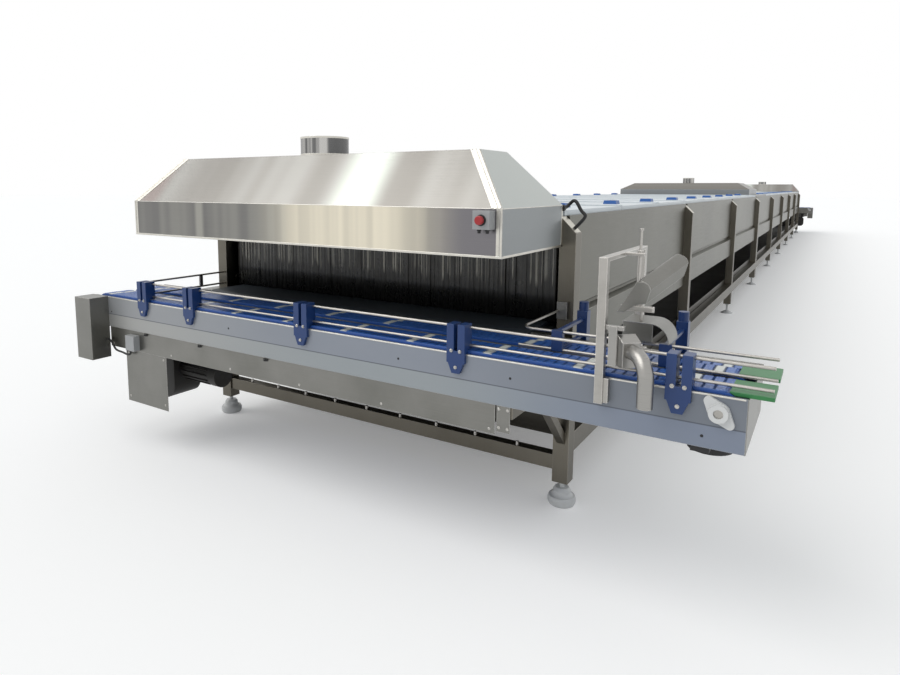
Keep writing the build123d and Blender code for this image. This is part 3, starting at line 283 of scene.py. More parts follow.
# %% Effect: an edge mask, used to paint a highlight along metal edges and wear along plastic ones, and a rounded normal
edges, start, end = effect(
    "edge_gleam",
    [("Radius", "NodeSocketFloat", 0.004)],
    [("Mask", "NodeSocketFloat"), ("Normal", "NodeSocketVector")],
)
round_off = add_node(edges, "ShaderNodeBevel", [("Radius", start.outputs["Radius"])], samples=3)
true_normal = edges.nodes.new("ShaderNodeNewGeometry").outputs["Normal"]
same = add_node(edges, "ShaderNodeVectorMath", [(0, round_off.outputs[0]), (1, true_normal)], operation="DOT_PRODUCT")
turned = math_node(edges, "SUBTRACT", 1.0, same.outputs["Value"])
edges.links.new(math_node(edges, "MULTIPLY", turned, 5.0, clamp=True), end.inputs["Mask"])
edges.links.new(round_off.outputs[0], end.inputs["Normal"])
print("effects:", [g.name for g in bpy.data.node_groups])

# %% [markdown]
# ## Stainless sheet and tube
# The machine is almost all brushed stainless steel, but no two parts look alike: the hood is new polished sheet, the
# tunnel's side panels are olive-grey and dull, painted dark for the shade on the machine's right side, and the tubes
# are warmer and darker. One function makes them all from the same effects, with a dark and a light tone, the direction
# of the grain and how much the sheet varies.

# %% The steel finish
def tone(value):
    """An RGB triple as the four numbers that a colour socket takes."""
    return (*value, 1.0)


def mix_colour(tree, mask, first, second):
    """Mix two colours, each a triple or a socket, by a mask socket."""
    node = tree.nodes.new("ShaderNodeMix")
    node.data_type = "RGBA"
    tree.links.new(mask, node.inputs["Factor"])
    for key, value in (("A", first), ("B", second)):
        socket = [s for s in node.inputs if s.name == key and s.type == "RGBA"][0]
        if isinstance(value, tuple):
            socket.default_value = tone(value)
        else:
            tree.links.new(value, socket)
    return [s for s in node.outputs if s.type == "RGBA"][0]


def new_finish(name, **shader_values):
    """A material with one Principled shader, whose uniform values are set on its sockets."""
    material = bpy.data.materials.new(name)
    material.use_nodes = True
    tree = material.node_tree
    tree.nodes.clear()
    shader = tree.nodes.new("ShaderNodeBsdfPrincipled")
    for key, value in shader_values.items():
        shader.inputs[key.replace("_", " ")].default_value = value
    out = tree.nodes.new("ShaderNodeOutputMaterial")
    tree.links.new(shader.outputs[0], out.inputs["Surface"])
    return material, tree, shader


def use_effect(tree, group, links=(), **values):
    """Place an effect group in a material with its own values."""
    node = tree.nodes.new("ShaderNodeGroup")
    node.node_tree = group
    for key, value in values.items():
        node.inputs[key.replace("_", " ")].default_value = value
    for key, source in links:
        tree.links.new(source, node.inputs[key])
    return node


def steel(name, dark, light, grain=(3.0, 3.0, 500.0), cloud=0.5, rough=(0.28, 0.42), edge=0.004, bump=0.0015):
    """Brushed stainless steel: clouds of tone, fine grain, a painted highlight along the edges."""
    material, tree, shader = new_finish(name, Metallic=1.0)
    cloud_node = use_effect(tree, clouds, Size=cloud, Sharpness=0.28)
    grain_node = use_effect(tree, brushed, Lines_Per_Metre=grain, Contrast=1.2)
    blend = math_node(tree, "MULTIPLY", cloud_node.outputs["Mask"], 0.65)
    blend = math_node(tree, "ADD", blend, math_node(tree, "MULTIPLY", grain_node.outputs["Grain"], 0.35), clamp=True)
    colour = mix_colour(tree, blend, dark, light)
    edge_node = use_effect(tree, edges, Radius=edge)
    # The edge mask paints a highlight into the base colour along every edge.
    bright = tuple(min(1.0, 1.7 * v + 0.1) for v in light)
    colour = mix_colour(tree, edge_node.outputs["Mask"], colour, bright)
    tree.links.new(colour, shader.inputs["Base Color"])
    spread = tree.nodes.new("ShaderNodeMapRange")
    tree.links.new(grain_node.outputs["Grain"], spread.inputs["Value"])
    spread.inputs["To Min"].default_value = rough[0]
    spread.inputs["To Max"].default_value = rough[1]
    tree.links.new(spread.outputs["Result"], shader.inputs["Roughness"])
    relief = add_node(tree, "ShaderNodeBump", [("Height", grain_node.outputs["Height"]), ("Normal", edge_node.outputs["Normal"])], Strength=0.25, Distance=bump)
    tree.links.new(relief.outputs[0], shader.inputs["Normal"])
    return material


frame_steel = steel("frame_tube_steel", (0.10, 0.092, 0.075), (0.20, 0.185, 0.155), grain=(300.0, 300.0, 4.0))
# The side panels' dark tone is painted shade, as on the shaded right side of the machine.
side_panel_shade_steel = steel("side_panel_steel", (0.085, 0.085, 0.07), (0.17, 0.165, 0.14), grain=(200.0, 3.0, 300.0), cloud=0.9)
hood_steel = steel("hood_sheet_steel", (0.24, 0.235, 0.225), (0.40, 0.39, 0.37), grain=(3.0, 60.0, 500.0), cloud=0.7, rough=(0.24, 0.36))
bright_steel = steel("bright_fitting_steel", (0.30, 0.29, 0.27), (0.52, 0.50, 0.47), grain=(8.0, 8.0, 300.0), cloud=0.12)
plate_steel = steel("plain_plate_steel", (0.16, 0.16, 0.145), (0.27, 0.265, 0.25), grain=(4.0, 60.0, 400.0), cloud=0.3)
# The sump tray's finish is painted dark for the shade under the tunnel body.
dark_steel = steel("shaded_sump_steel", (0.045, 0.042, 0.035), (0.09, 0.085, 0.075), cloud=0.8)
print("steel finishes:", len([m for m in bpy.data.materials if "steel" in m.name]))

# %% [markdown]
# ## Plastics, belt, film and rubber
# Moulded plastic is a plain colour only at first sight: it has a fine grained skin, paler worn
# edges and dust in its corners, so each plastic mixes two close tones by cloud and edge masks.

# %% Moulded plastic
def plastic(name, colour, worn, rough=0.38, cloud=0.15, edge=0.003, speck=0.2):
    """Moulded plastic with two close tones, paler edges and a fine skin."""
    material, tree, shader = new_finish(name, Roughness=rough)
    cloud_node = use_effect(tree, clouds, Size=cloud, Sharpness=0.35)
    colour_socket = mix_colour(tree, cloud_node.outputs["Mask"], tuple(0.82 * v for v in colour), colour)
    speck_node = use_effect(tree, scuffs, Size=0.03, Amount=speck)
    edge_node = use_effect(tree, edges, Radius=edge)
    wear = math_node(tree, "MAXIMUM", math_node(tree, "MULTIPLY", edge_node.outputs["Mask"], 0.7), math_node(tree, "MULTIPLY", speck_node.outputs["Mask"], 0.4))
    colour_socket = mix_colour(tree, wear, colour_socket, worn)
    tree.links.new(colour_socket, shader.inputs["Base Color"])
    skin = add_node(tree, "ShaderNodeTexNoise", [("Vector", metres(tree)[0])], Scale=600.0, Detail=2.0)
    relief = add_node(tree, "ShaderNodeBump", [("Height", skin.outputs["Fac"]), ("Normal", edge_node.outputs["Normal"])], Strength=0.2, Distance=0.0006)
    tree.links.new(relief.outputs[0], shader.inputs["Normal"])
    return material


blue_bracket = plastic("deep_blue_bracket", (0.012, 0.045, 0.17), (0.05, 0.12, 0.33), rough=0.33)
blue_handle = plastic("bright_blue_handle", (0.02, 0.12, 0.42), (0.2, 0.35, 0.7))
belt_blue = plastic("royal_blue_belt", (0.018, 0.085, 0.36), (0.10, 0.22, 0.55), rough=0.42)
green_nose = plastic("green_nose_strip", (0.03, 0.21, 0.06), (0.25, 0.5, 0.3), rough=0.4)
white_plastic = plastic("white_bearing_plastic", (0.72, 0.73, 0.73), (0.85, 0.85, 0.85))
grey_plastic = plastic("light_grey_box_plastic", (0.38, 0.39, 0.40), (0.6, 0.6, 0.6))
red_button = plastic("red_stop_button", (0.42, 0.02, 0.025), (0.6, 0.1, 0.1), rough=0.3)
black_rubber = plastic("black_foot_rubber", (0.015, 0.015, 0.016), (0.06, 0.06, 0.06), rough=0.6)
motor_paint = plastic("dark_motor_paint", (0.018, 0.017, 0.015), (0.06, 0.055, 0.05), rough=0.5)
wear_plastic = plastic("pale_slide_plastic", (0.6, 0.6, 0.56), (0.75, 0.75, 0.7))
deck_plastic = plastic("charcoal_deck_belt", (0.032, 0.040, 0.050), (0.075, 0.085, 0.095), rough=0.5, cloud=0.5)
cover_shell = plastic("pale_cover_shell", (0.66, 0.72, 0.76), (0.85, 0.86, 0.86), rough=0.35, cloud=0.6)
print("plastic finishes:", len(bpy.data.materials))

# %% Assign the finishes to the CAD nodes
finish_of = {
    "posts": frame_steel, "bottom_rails": frame_steel, "cross_rails": frame_steel, "head_beams": frame_steel,
    "carrier_beams": frame_steel, "support_arms": frame_steel, "side_panels": side_panel_shade_steel,
    "sump_tray": dark_steel, "water_trough": plate_steel, "nose_rollers": plate_steel,
    "nose_cheeks": plate_steel, "curtain_rails": plate_steel, "side_plates": plate_steel,
    "end_plates": plate_steel, "rear_plates": plate_steel, "lower_panels": plate_steel,
    "guard_plates": plate_steel, "drive_boxes": plate_steel, "middle_hood_curb": plate_steel,
    "end_hoods": hood_steel, "middle_hood": hood_steel, "end_flues": hood_steel, "middle_flue": hood_steel,
    "portal_frames": bright_steel, "guide_rods": bright_steel, "lane_shafts": bright_steel,
    "lane_carriers": plate_steel, "front_plates": plate_steel, "levelling_feet": white_plastic,
    "main_belt": deck_plastic, "belt_wear_strips": wear_plastic, "lane_slides": wear_plastic,
    "lane_belts": belt_blue, "transfer_noses": green_nose, "front_brackets": blue_bracket,
    "rear_brackets": blue_bracket, "cover_handles": blue_handle, "roof_covers": cover_shell,
    "flange_bearings": white_plastic, "terminal_boxes": grey_plastic, "stop_boxes": grey_plastic,
    "stop_buttons": red_button, "end_pads": black_rubber, "gearmotors": motor_paint,
    "strip_curtains": black_rubber, "rail_spacers": bright_steel, "portal_feet": bright_steel,
    "height_arms": bright_steel, "portal_spindles": bright_steel, "tilt_covers": plate_steel,
    "fall_guards": plate_steel, "inlet_boxes": hood_steel, "elbow_pipes": hood_steel,
    "rod_holders": plate_steel, "hood_connectors": black_rubber, "short_leads": black_rubber,
}


def dress(node_name, material):
    """Give a CAD node its finish; the mesh itself stays as it is."""
    mesh = nodes[node_name].data
    mesh.materials.clear()
    mesh.materials.append(material)


for node_name in nodes:
    dress(node_name, finish_of[node_name])
print("dressed", len(nodes), "nodes")

# %% [markdown]
# ## End hoods
# Each end hood is folded from large sheets, and the broad band of a lamp's reflection down its front is painted, with
# more painted reflection bands and thin painted highlight lines on skirt and slope. The machine's right side still
# wears a pale protective film, painted lighter on its upward faces than on its upright ones. One material does both: it
# tells skirt, slope and side apart by the direction in which a face looks, and turns its pattern round for the hood at
# the far end, which is the same hood turned about.

# %% Helpers that tell faces apart
def outward(tree):
    """The three parts of the direction in which the surface looks."""
    split = tree.nodes.new("ShaderNodeSeparateXYZ")
    tree.links.new(tree.nodes.new("ShaderNodeNewGeometry").outputs["Normal"], split.inputs[0])
    return split.outputs


def own_end(tree):
    """X, the outward X and the outward Y as the near end sees them, at both ends alike."""
    place, (x, y, z) = metres(tree)
    turn = math_node(tree, "MULTIPLY", math_node(tree, "SIGN", y), -1.0)
    normal = outward(tree)
    return place, math_node(tree, "MULTIPLY", x, turn), z, math_node(tree, "MULTIPLY", normal[0], turn), math_node(tree, "MULTIPLY", normal[1], turn), normal[2]


def band(tree, value, centre, half_width, soft):
    """1 within half_width of centre, falling to 0 over the soft margin."""
    off = math_node(tree, "ABSOLUTE", math_node(tree, "SUBTRACT", value, centre))
    return math_node(tree, "SUBTRACT", 1.0, smooth_step(tree, off, half_width, half_width + soft))


def streaks(tree, value, per_metre, low=0.35, high=0.65, seed=0.0):
    """Soft bands along one coordinate; on brushed sheet they paint long reflections."""
    noise = tree.nodes.new("ShaderNodeTexNoise")
    noise.noise_dimensions = "1D"
    noise.inputs["Scale"].default_value = per_metre
    noise.inputs["Detail"].default_value = 2.0
    tree.links.new(math_node(tree, "ADD", value, seed), noise.inputs["W"])
    return smooth_step(tree, noise.outputs["Fac"], low, high)


def times(tree, first, second):
    """The product of two masks."""
    return math_node(tree, "MULTIPLY", first, second)


print("face helpers ready")

# %% The hood finish
def brushed_relief(tree, shader, grain, rough, edge=0.004, bump=0.0015):
    """Brushed grain in roughness and relief; gives the grain and edge masks."""
    grain_node = use_effect(tree, brushed, Lines_Per_Metre=grain, Contrast=1.2)
    edge_node = use_effect(tree, edges, Radius=edge)
    spread = tree.nodes.new("ShaderNodeMapRange")
    tree.links.new(grain_node.outputs["Grain"], spread.inputs["Value"])
    spread.inputs["To Min"].default_value = rough[0]
    spread.inputs["To Max"].default_value = rough[1]
    tree.links.new(spread.outputs["Result"], shader.inputs["Roughness"])
    relief = add_node(tree, "ShaderNodeBump", [("Height", grain_node.outputs["Height"]), ("Normal", edge_node.outputs["Normal"])], Strength=0.25, Distance=bump)
    tree.links.new(relief.outputs[0], shader.inputs["Normal"])
    return grain_node.outputs["Grain"], edge_node.outputs["Mask"]


def hood_finish(name, has_film):
    """Folded hood sheet: painted reflection bands on skirt and slope, film on the right side."""
    material, tree, shader = new_finish(name)
    place, u, z, side, ahead, up = own_end(tree)
    grain, edge = brushed_relief(tree, shader, (3.0, 60.0, 420.0), (0.25, 0.38))
    cloud = use_effect(tree, clouds, Size=0.8, Sharpness=0.3).outputs["Mask"]
    # Slope: painted reflection bands, a pale painted highlight band and a darker painted band.
    slope_tone = mix_colour(tree, streaks(tree, u, 2.2, seed=3.1), (0.185, 0.178, 0.165), (0.27, 0.268, 0.255))
    slope_tone = mix_colour(tree, band(tree, u, 0.43, 0.03, 0.16), slope_tone, (0.50, 0.54, 0.50))
    slope_tone = mix_colour(tree, band(tree, u, -1.05, 0.02, 0.10), slope_tone, (0.21, 0.175, 0.165))
    # Skirt: painted reflection bands, painted darker towards its right end, and the painted reflection of a lamp.
    skirt_tone = mix_colour(tree, streaks(tree, u, 5.0, seed=1.7), (0.145, 0.143, 0.140), (0.225, 0.222, 0.205))
    skirt_tone = mix_colour(tree, smooth_step(tree, u, 0.70, 1.05), skirt_tone, (0.165, 0.158, 0.172))
    painted_lamp_reflection = band(tree, u, 0.40, 0.20, 0.42)
    painted_lamp_reflection = times(tree, painted_lamp_reflection, math_node(tree, "ADD", 0.78, times(tree, streaks(tree, u, 9.0, seed=8.0), 0.22)))
    skirt_tone = mix_colour(tree, painted_lamp_reflection, skirt_tone, (0.78, 0.72, 0.58))
    # Thin painted highlight lines across the skirt.
    for centre, strength in ((-0.61, 0.45), (-0.07, 0.32), (0.0, 0.25)):
        skirt_tone = mix_colour(tree, times(tree, band(tree, u, centre, 0.012, 0.035), strength), skirt_tone, (0.50, 0.49, 0.43))
    sheet_tone = mix_colour(tree, smooth_step(tree, up, 0.15, 0.35), skirt_tone, slope_tone)
    sheet_tone = mix_colour(tree, times(tree, cloud, 0.12), sheet_tone, (0.42, 0.41, 0.39))
    sheet_tone = mix_colour(tree, times(tree, grain, 0.10), sheet_tone, (0.55, 0.53, 0.50))
    if has_film:
        film = smooth_step(tree, side, 0.45, 0.55)
        # Darker specks on the film; the film is painted lighter on its upward faces than on its upright ones, as
        # painted light from above.
        film_dark_specks = use_effect(tree, scuffs, Size=0.05, Amount=0.35).outputs["Mask"]
        film_tone = mix_colour(tree, smooth_step(tree, up, 0.15, 0.35), (0.30, 0.32, 0.325), (0.53, 0.56, 0.53))
        film_tone = mix_colour(tree, times(tree, film_dark_specks, 0.30), film_tone, (0.13, 0.15, 0.15))
        sheet_tone = mix_colour(tree, film, sheet_tone, film_tone)
        tree.links.new(math_node(tree, "SUBTRACT", 1.0, times(tree, film, 0.8)), shader.inputs["Metallic"])
    else:
        shader.inputs["Metallic"].default_value = 1.0
    # The edge mask paints a highlight along the folded edges.
    sheet_tone = mix_colour(tree, times(tree, edge, 0.75), sheet_tone, (0.80, 0.79, 0.74))
    tree.links.new(sheet_tone, shader.inputs["Base Color"])
    return material


end_hood_sheet = hood_finish("end_hood_sheet", has_film=True)
dress("end_hoods", end_hood_sheet)

material, tree, shader = new_finish("flue_pipe_steel", Metallic=1.0)
place, (x, y, z) = metres(tree)
grain, edge = brushed_relief(tree, shader, (40.0, 40.0, 60.0), (0.22, 0.34))
# Upright bands along the pipe are painted reflections, and the edge mask paints a highlight.
flue_tone = mix_colour(tree, streaks(tree, x, 22.0, seed=4.0), (0.13, 0.13, 0.13), (0.52, 0.51, 0.49))
flue_tone = mix_colour(tree, times(tree, edge, 0.6), flue_tone, (0.8, 0.79, 0.76))
tree.links.new(flue_tone, shader.inputs["Base Color"])
flue_steel = material
for node_name in ("end_flues", "middle_flue"):
    dress(node_name, flue_steel)

material, tree, shader = new_finish("middle_hood_sheet", Metallic=0.85)
place, (x, y, z) = metres(tree)
normal = outward(tree)
grain, edge = brushed_relief(tree, shader, (60.0, 3.0, 420.0), (0.28, 0.40))
# Bands across lid and walls are painted reflections, and the edge mask paints a highlight.
lid_tone = mix_colour(tree, streaks(tree, y, 3.0), (0.19, 0.18, 0.16), (0.26, 0.25, 0.23))
wall_tone = mix_colour(tree, streaks(tree, y, 2.0, seed=5.0), (0.20, 0.215, 0.225), (0.26, 0.275, 0.285))
hood_tone = mix_colour(tree, smooth_step(tree, normal[2], 0.15, 0.5), wall_tone, lid_tone)
hood_tone = mix_colour(tree, times(tree, edge, 0.6), hood_tone, (0.7, 0.7, 0.67))
tree.links.new(hood_tone, shader.inputs["Base Color"])
dress("middle_hood", material)
print("hood finishes done")

# %% [markdown]
# ## Film on the cross conveyor's front plates
# The conveyor's plates left the shop in blue-grey film. A fold runs along them, the strip under
# it looks bluer, and small round marks are printed on it at even steps. The marks are plain rings
# here. Each one is a distance from a centre that repeats, so no picture is needed.

# %% The film finish
def ring_marks(tree, u, z, first, step, height, radius, line):
    """A row of small rings: first centre, step along u, height, radius and line width."""
    cell = math_node(tree, "FRACT", math_node(tree, "ADD", math_node(tree, "DIVIDE", math_node(tree, "SUBTRACT", u, first), step), 0.5))
    along = math_node(tree, "MULTIPLY", math_node(tree, "SUBTRACT", cell, 0.5), step)
    rise = math_node(tree, "SUBTRACT", z, height)
    reach = math_node(tree, "SQRT", math_node(tree, "ADD", times(tree, along, along), times(tree, rise, rise)))
    return band(tree, reach, radius, line, line)


material, tree, shader = new_finish("filmed_front_plate", Specular_IOR_Level=0.5)
place, u, z, side, ahead, up = own_end(tree)
grain, edge = brushed_relief(tree, shader, (3.0, 60.0, 300.0), (0.30, 0.42), bump=0.0008)
cloud = use_effect(tree, clouds, Size=0.5, Sharpness=0.35, Stretch=(1.0, 1.0, 2.5)).outputs["Mask"]
upper = mix_colour(tree, smooth_step(tree, u, -1.4, 0.6), (0.30, 0.31, 0.325), (0.235, 0.26, 0.31))
upper = mix_colour(tree, smooth_step(tree, u, 0.8, 1.8), upper, (0.155, 0.175, 0.21))
lower = mix_colour(tree, smooth_step(tree, u, -1.4, 0.6), (0.37, 0.37, 0.36), (0.29, 0.32, 0.34))
lower = mix_colour(tree, smooth_step(tree, u, 0.8, 1.8), lower, (0.19, 0.225, 0.30))
film_tone = mix_colour(tree, smooth_step(tree, z, 0.783, 0.787), lower, upper)
film_tone = mix_colour(tree, times(tree, cloud, 0.16), film_tone, (0.42, 0.43, 0.44))
# The dark line along the fold is painted shade in its crease.
fold = band(tree, z, 0.785, 0.0012, 0.0022)
film_tone = mix_colour(tree, times(tree, fold, 0.75), film_tone, (0.07, 0.08, 0.10))
marks = ring_marks(tree, u, z, 0.144, 0.2255, 0.751, 0.0085, 0.0022)
dots = ring_marks(tree, u, z, 0.144, 0.2255, 0.751, 0.0, 0.0028)
small = ring_marks(tree, u, z, 0.177, 0.2255, 0.727, 0.004, 0.0016)
arcs = ring_marks(tree, u, z, 0.629, 0.6765, 0.709, 0.020, 0.0030)
outside = smooth_step(tree, ahead, 0.4, 0.6)
printed = math_node(tree, "MAXIMUM", math_node(tree, "MAXIMUM", marks, dots), math_node(tree, "MAXIMUM", times(tree, small, 0.6), arcs))
film_tone = mix_colour(tree, times(tree, times(tree, printed, outside), 0.8), film_tone, (0.03, 0.10, 0.36))
# The edge mask paints a highlight along the plate edges.
film_tone = mix_colour(tree, times(tree, edge, 0.8), film_tone, (0.72, 0.72, 0.70))
tree.links.new(film_tone, shader.inputs["Base Color"])
shader.inputs["Metallic"].default_value = 0.25
film_plate = material
dress("front_plates", film_plate)
print("film finish done")

# %% [markdown]
# ## Making a piece
# A bar, a strip or a hem is a short outline pushed along a straight line. Round things are a
# profile turned about an axis. Both are made in a bmesh in the machine's own metres, so every
# piece's object stays at the origin. The far end of the machine is the near end turned half
# round, so one copy of the mesh, turned about Z, serves it.

# %% Helpers for meshes
import bmesh


def bar(work, start, end, facing, outline):
    """Push an outline of (across, out) points along a line; out looks towards facing."""
    start, end = Vector(start), Vector(end)
    along = (end - start).normalized()
    out = Vector(facing)
    out = (out - along * out.dot(along)).normalized()
    across = along.cross(out)
    rings = []
    for place in (start, end):
        rings.append([work.verts.new(place + across * a + out * b) for a, b in outline])
    count = len(outline)
    for i in range(count):
        j = (i + 1) % count
        work.faces.new((rings[0][i], rings[0][j], rings[1][j], rings[1][i]))
    work.faces.new(rings[0][::-1])
    work.faces.new(rings[1])


def lath(work, start, end, facing, width, thick, chamfer=0.0008):
    """A flat bar with its two outer edges broken."""
    half = width / 2
    outline = [(-half, 0.0), (half, 0.0), (half, thick - chamfer), (half - chamfer, thick), (chamfer - half, thick), (-half, thick - chamfer)]
    bar(work, start, end, facing, outline)


def turned(work, centre, axis, profile, sides=24):
    """Turn a profile of (radius, height) points about an axis through centre; closed at both ends."""
    axis = Vector(axis).normalized()
    first = axis.orthogonal().normalized()
    second = axis.cross(first)
    rings = []
    for radius, height in profile:
        middle = Vector(centre) + axis * height
        if radius == 0.0:
            rings.append([work.verts.new(middle)])
            continue
        ring = []
        for i in range(sides):
            angle = 2 * math.pi * i / sides
            ring.append(work.verts.new(middle + radius * (math.cos(angle) * first + math.sin(angle) * second)))
        rings.append(ring)
    for low_ring, high_ring in zip(rings, rings[1:]):
        for i in range(sides):
            j = (i + 1) % sides
            corners = [low_ring[i % len(low_ring)], low_ring[j % len(low_ring)], high_ring[j % len(high_ring)], high_ring[i % len(high_ring)]]
            corners = list(dict.fromkeys(corners))
            if len(corners) > 2:
                work.faces.new(corners)


def with_far_end(work):
    """Copy what is in the bmesh to the far end, turned half round about Z."""
    copied = bmesh.ops.duplicate(work, geom=work.verts[:] + work.edges[:] + work.faces[:])
    moved = [item for item in copied["geom"] if isinstance(item, bmesh.types.BMVert)]
    bmesh.ops.rotate(work, verts=moved, cent=(0, 0, 0), matrix=Matrix.Rotation(math.pi, 3, "Z"))


def to_mesh(work, name):
    """Turn the faces outwards and make the mesh."""
    bmesh.ops.recalc_face_normals(work, faces=work.faces[:])
    mesh = bpy.data.meshes.new(name)
    work.to_mesh(mesh)
    work.free()
    return mesh


def place_piece(mesh, name, material=None, replaced=()):
    """Make the piece's object; it rides on the machine and hides the CAD parts that it replaces."""
    if material is not None:
        mesh.materials.clear()
        mesh.materials.append(material)
    piece = bpy.data.objects.new(name, mesh)
    scene.collection.objects.link(piece)
    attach(piece, "root")
    if replaced:
        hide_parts(*replaced)
    print(name, len(mesh.polygons), "faces")
    return piece


front = cad_low[1] + 0.790
print("front face of the tunnel at Y", round(front, 4))

# %% [markdown]
# ## Folded edges of the hoods
# Sheet metal shows its folds: a bright lip runs along the lower edge, a doubled strip lies on each sloping corner, and
# a narrow corner strip closes the upright one. They are thin bars laid on the sheet, a little over a millimetre thick,
# and their pale steel is a painted highlight of the folds.

# %% Hood trims
hood_low, hood_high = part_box("end_hoods")
shoulder, hood_base, hood_roof = 1.492, hood_low[2], hood_high[2]
hood_half, roof_half = hood_high[0], 0.977
hood_face, roof_face, roof_back = front - 0.660, front - 0.460, front - 0.194
work = bmesh.new()
lath(work, (-hood_half, hood_face, hood_base + 0.005), (hood_half, hood_face, hood_base + 0.005), (0, -1, 0), 0.010, 0.0014)
lath(work, (-hood_half, hood_face, shoulder - 0.0015), (hood_half, hood_face, shoulder - 0.0015), (0, -1, 0.3), 0.003, 0.0010)
for hand in (-1, 1):
    corner = Vector((hand * hood_half, hood_face, shoulder))
    peak = Vector((hand * roof_half, roof_face, hood_roof))
    slope_out = Vector((0, -(hood_roof - shoulder), roof_face - hood_face)).normalized()
    for inward, width, thick in ((0.012, 0.012, 0.0022), (0.030, 0.016, 0.0012), (0.044, 0.008, 0.0022)):
        shift = Vector((-hand * inward, 0, 0))
        lath(work, corner + shift, peak + shift, slope_out, width, thick)
    for inward, width, thick in ((0.006, 0.010, 0.0022), (0.020, 0.014, 0.0012)):
        x = hand * (hood_half - inward)
        lath(work, (x, hood_face, hood_base + 0.001), (x, hood_face, shoulder), (0, -1, 0), width, thick)
    side_out = Vector((hand, 0, 0))
    lath(work, (hand * hood_half, hood_face + 0.001, hood_base + 0.005), (hand * hood_half, front - 0.002, hood_base + 0.005), side_out, 0.010, 0.0012)
    lath(work, (hand * hood_half, hood_face + 0.001, shoulder - 0.002), (hand * hood_half, front - 0.002, shoulder - 0.002), side_out, 0.004, 0.0012)
    lath(work, (hand * hood_half, front - 0.006, hood_base + 0.001), (hand * hood_half, front - 0.006, shoulder), side_out, 0.012, 0.0012)
lath(work, (-roof_half, roof_face, hood_roof - 0.004), (roof_half, roof_face, hood_roof - 0.004), slope_out, 0.006, 0.0012)
with_far_end(work)
# This pale steel paints the highlight that folded edges, rims and hems catch.
trim_steel = steel("bright_folded_edge", (0.50, 0.48, 0.43), (0.74, 0.72, 0.66), grain=(60.0, 60.0, 60.0), cloud=0.1, edge=0.001)
place_piece(to_mesh(work, "hood_trims"), "hood_trims", trim_steel)

# %% [markdown]
# ## Trees that repeat a piece
# Geometry Nodes repeat what the machine has many of. The piece to repeat is the mesh that the
# modifier sits on. A tree lays points in rows, sets small seeded differences, puts a copy on each
# point, makes the copies real and gives them their finish.

# %% A tree for rows and bricks
def geometry_tree(name, inputs):
    """Start a Geometry Nodes tree with named inputs."""
    tree = bpy.data.node_groups.new(name, "GeometryNodeTree")
    tree.interface.new_socket("Geometry", in_out="INPUT", socket_type="NodeSocketGeometry")
    for label, kind, value in inputs:
        socket = tree.interface.new_socket(label, in_out="INPUT", socket_type=kind)
        if value is not None:
            socket.default_value = value
    tree.interface.new_socket("Geometry", in_out="OUTPUT", socket_type="NodeSocketGeometry")
    return tree, tree.nodes.new("NodeGroupInput"), tree.nodes.new("NodeGroupOutput")


def make_real(tree, end, geometry, finish):
    """End a tree: make the copies real, give them their finish."""
    real = add_node(tree, "GeometryNodeRealizeInstances", [("Geometry", geometry)])
    finished = add_node(tree, "GeometryNodeSetMaterial", [("Geometry", real.outputs[0]), ("Material", finish)])
    tree.links.new(finished.outputs[0], end.inputs[0])


def run_tree(name, tree, seed_mesh, values):
    """Run a tree on a mesh and give the plain mesh that it makes."""
    worker = bpy.data.objects.new(name + "_worker", seed_mesh)
    scene.collection.objects.link(worker)
    modifier = worker.modifiers.new("make", "NODES")
    modifier.node_group = tree
    identifier = {item.name: item.identifier for item in tree.interface.items_tree if item.in_out == "INPUT"}
    for label, value in values.items():
        modifier[identifier[label]] = value
    made = worker.evaluated_get(bpy.context.evaluated_depsgraph_get())
    mesh = bpy.data.meshes.new_from_object(made)
    mesh.name = name
    worker.modifiers.remove(modifier)
    bpy.data.objects.remove(worker)
    bpy.data.meshes.remove(seed_mesh)
    return mesh


def random_value(tree, kind, low, high, seed):
    """A Random Value node of one kind between low and high, which may be sockets."""
    node = tree.nodes.new("FunctionNodeRandomValue")
    node.data_type = kind
    for label, value in (("Min", low), ("Max", high)):
        socket = [s for s in node.inputs if s.name == label and s.enabled][0]
        if isinstance(value, (int, float, tuple)):
            socket.default_value = value
        else:
            tree.links.new(value, socket)
    tree.links.new(seed, node.inputs["Seed"])
    return [s for s in node.outputs if s.enabled][0]


brick_tree, start, end = geometry_tree(
    "rows_of_copies",
    [
        ("Count", "NodeSocketInt", 10),
        ("Columns", "NodeSocketInt", 1),
        ("Start", "NodeSocketVector", (0.0, 0.0, 0.0)),
        ("Row Step", "NodeSocketVector", (0.1, 0.0, 0.0)),
        ("Column Step", "NodeSocketVector", (0.0, 0.1, 0.0)),
        ("Odd Shift", "NodeSocketVector", (0.0, 0.0, 0.0)),
        ("Turn", "NodeSocketFloat", 0.0),
        ("Wander", "NodeSocketVector", (0.0, 0.0, 0.0)),
        ("Marked Every", "NodeSocketInt", 10),
        ("Marked First", "NodeSocketInt", 0),
        ("Seed", "NodeSocketInt", 7),
        ("Finish", "NodeSocketMaterial", None),
    ],
)
give = start.outputs
index = brick_tree.nodes.new("GeometryNodeInputIndex").outputs[0]
column = math_node(brick_tree, "MODULO", index, give["Columns"])
row = math_node(brick_tree, "FLOOR", math_node(brick_tree, "DIVIDE", index, give["Columns"]))
odd = math_node(brick_tree, "MODULO", column, 2.0)
place = give["Start"]
for amount, step in ((row, "Row Step"), (column, "Column Step"), (odd, "Odd Shift")):
    move = add_node(brick_tree, "ShaderNodeVectorMath", [(0, give[step]), ("Scale", amount)], operation="SCALE")
    place = add_node(brick_tree, "ShaderNodeVectorMath", [(0, place), (1, move.outputs[0])], operation="ADD").outputs[0]
back = add_node(brick_tree, "ShaderNodeVectorMath", [(0, give["Wander"])], operation="SCALE", Scale=-1.0)
